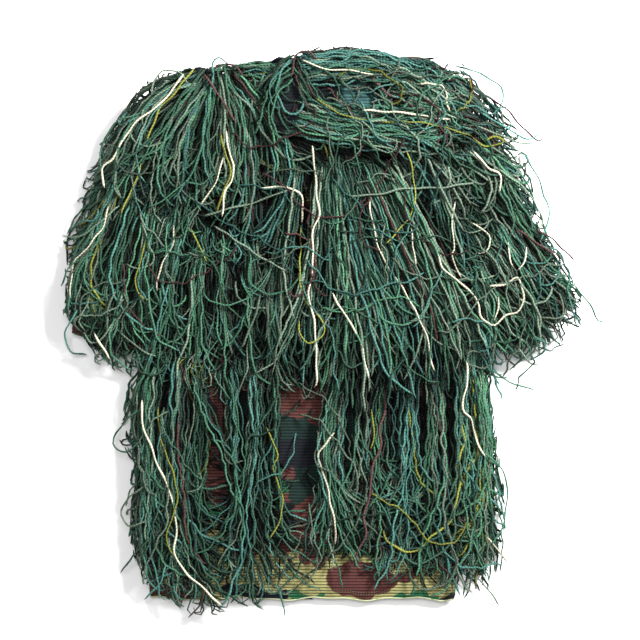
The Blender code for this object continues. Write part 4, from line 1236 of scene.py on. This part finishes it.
def make_trims():
    """The cords and stitches along the sheets' edges, and the looks of the CAD pieces that stay in view."""
    binding = trim_material("binding", (0.030, 0.055, 0.030), 0.85, weave=0.0016)
    edging = trim_material("hem_edging", (0.340, 0.360, 0.210), 0.85, weave=0.0012)
    thread = trim_material("thread", (0.120, 0.150, 0.085), 0.8)
    cord("hem_edging", "jacket", [edge_of(back_surface, HEM_ENDS, 260)], 0.0013, edging, "hem_band_back")
    hood_ends = ((0, 1), (1, 1)), ((1, 1), (1, 0)), HEM_ENDS
    cord("hood_seam", "hood", [edge_of(hood_surface(True), ends, 90) for ends in hood_ends], 0.0013, binding,
         "hood_crown_seam", "hood_neck_seam")
    for side, start, end in (("left", 0, 0.30), ("right", 1, 0.70)):
        run = edge_of(back_surface, ((start, 0.004), (start, 0.72)), 300, 0.003)
        cord(f"side_seam_cord_{side}", "jacket", [run], 0.0022, binding, f"side_seam_{side}")
        run = edge_of(back_surface, ((start, 1), (end, 1)), 60)
        cord(f"shoulder_seam_cord_{side}", "jacket", [run], 0.0020, binding, f"shoulder_seam_{side}")
    neck = edge_of(back_surface, ((0.29, 1), (0.71, 1)), 80)
    cord("neck_cord", "jacket", [neck], 0.0022, binding, "neck_binding")
    for side, sign in (("left", -1), ("right", 1)):
        run = edge_of(front_surface(sign), HEM_ENDS, 120)
        cord(f"front_hem_edging_{side}", "jacket", [run], 0.0012, edging, f"hem_band_front_{side}")
    for sleeve, inner in ((LEFT, 1), (RIGHT, 0)):
        side = f"{sleeve.name}_sleeve"
        for part, u in (("outer", 1 - inner), ("inner", inner)):
            run = edge_of(sleeve_surface(sleeve, True), ((u, 0.10), (u, 0.99)), 120, 0.0012)
            cord(f"{side}_{part}_cord", side, [run], 0.0018, binding, f"{side}_{part}_seam")
        cuff = [edge_of(sleeve_surface(sleeve, upper), ((0, 1), (1, 1)), 60) for upper in (True, False)]
        cord(f"{sleeve.name}_cuff_cord", side, cuff, 0.0014, binding, f"{sleeve.name}_cuff_band")
    stitches = []
    for row in STITCH_ROWS:
        v = row / (NECK_Y - HEM_Y)
        line = edge_of(back_surface, ((0.01, v), (0.99, v)), 900, -0.0006)
        stitches += [line[k:k + STITCH] for k in range(0, len(line) - STITCH, STITCH_PITCH)]
    cord("hem_stitching", "jacket", stitches, 0.00035, thread)

    metal = trim_material("zipper_metal", (0.030, 0.040, 0.032), 0.38, metallic=0.6, grain=350.0)
    looks = {"tape": trim_material("zipper_tape", (0.012, 0.022, 0.014), 0.8, weave=0.0010),
             "coil": trim_material("zipper_coil", (0.010, 0.014, 0.011), 0.35, grain=500.0),
             "slider": metal, "pull": metal, "stop": metal}
    for name, node in frame["nodes"].items():
        if node.type == "MESH":
            word = next((w for w in looks if name.startswith("zipper") and w in name), None)
            node.data.materials.clear()
            node.data.materials.append(looks.get(word, binding))


# ---- the whole jacket ----

make_studio()
cloth = make_cloth()
make_trims()
for grow in (lower_rows, middle_rows, upper_rows, yoke_rows, sleeve_rows, hood_rows, under_rows):
    grow()
pile = Pile()
# each body's own pile, which sets the painted shade deep in its yarns
piles = {body: Pile(body) for body in ("jacket", "left_sleeve", "right_sleeve", "hood")}
wanderers(pile)
accents(pile)

LOWER_PARTS = ("outer_left", "inner_left", "middle", "inner_right", "outer_right")
REPLACED = {
    ("jacket", "lower"): [f"lower_fringe_{part}" for part in LOWER_PARTS],
    ("jacket", "middle"): ["middle_back_fringe"],
    ("jacket", "upper"): ["upper_back_fringe"],
    ("jacket", "yoke"): ["yoke_fringe_left", "yoke_fringe_right"],
    ("jacket", "front_left"): ["front_fringe_left"],
    ("jacket", "front_right"): ["front_fringe_right"],
    ("left_sleeve", "sleeve"): ["left_sleeve_fringe"],
    ("right_sleeve", "sleeve"): ["right_sleeve_fringe"],
    ("left_sleeve", "sleeve_under"): ["left_sleeve_underside_fringe"],
    ("right_sleeve", "sleeve_under"): ["right_sleeve_underside_fringe"],
    ("hood", "hood"): ["hood_fringe"],
}
PIECE_TRIANGLES = 150_000
SHOULDERS = {"shoulder_left": LEFT, "shoulder_right": RIGHT}
SWEEP = 0.10                # a distance down the sleeve from its pivot
yarns = {}
for (body, row, family), groups in batches.items():
    place = {"sleeve": body, "sleeve_under": f"{body}_under", "loose": f"{body}_loose"}.get(row, row)
    shares, size = [[]], 0
    for group in groups:
        triangles = group[2].size * SIDES * 2
        if size + triangles > PIECE_TRIANGLES:
            shares.append([])
            size = 0
        shares[-1].append(group)
        size += triangles
    for number, share in enumerate(shares):
        suffix = f"_{number + 1}" if number else ""
        piece = build_yarns(f"{place}_{family}_yarn{suffix}", body, share)
        if row in SHOULDERS:
            sleeve = SHOULDERS[row]
            start, end = sleeve.point(0, 0.0), sleeve.point(0, SWEEP)
            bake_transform(piece)
            continue
        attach(piece, body)
        yarns.setdefault(body, []).append(piece)
        if family == "dark" and number == 0 and (body, row) in REPLACED:
            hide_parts(*REPLACED[(body, row)])
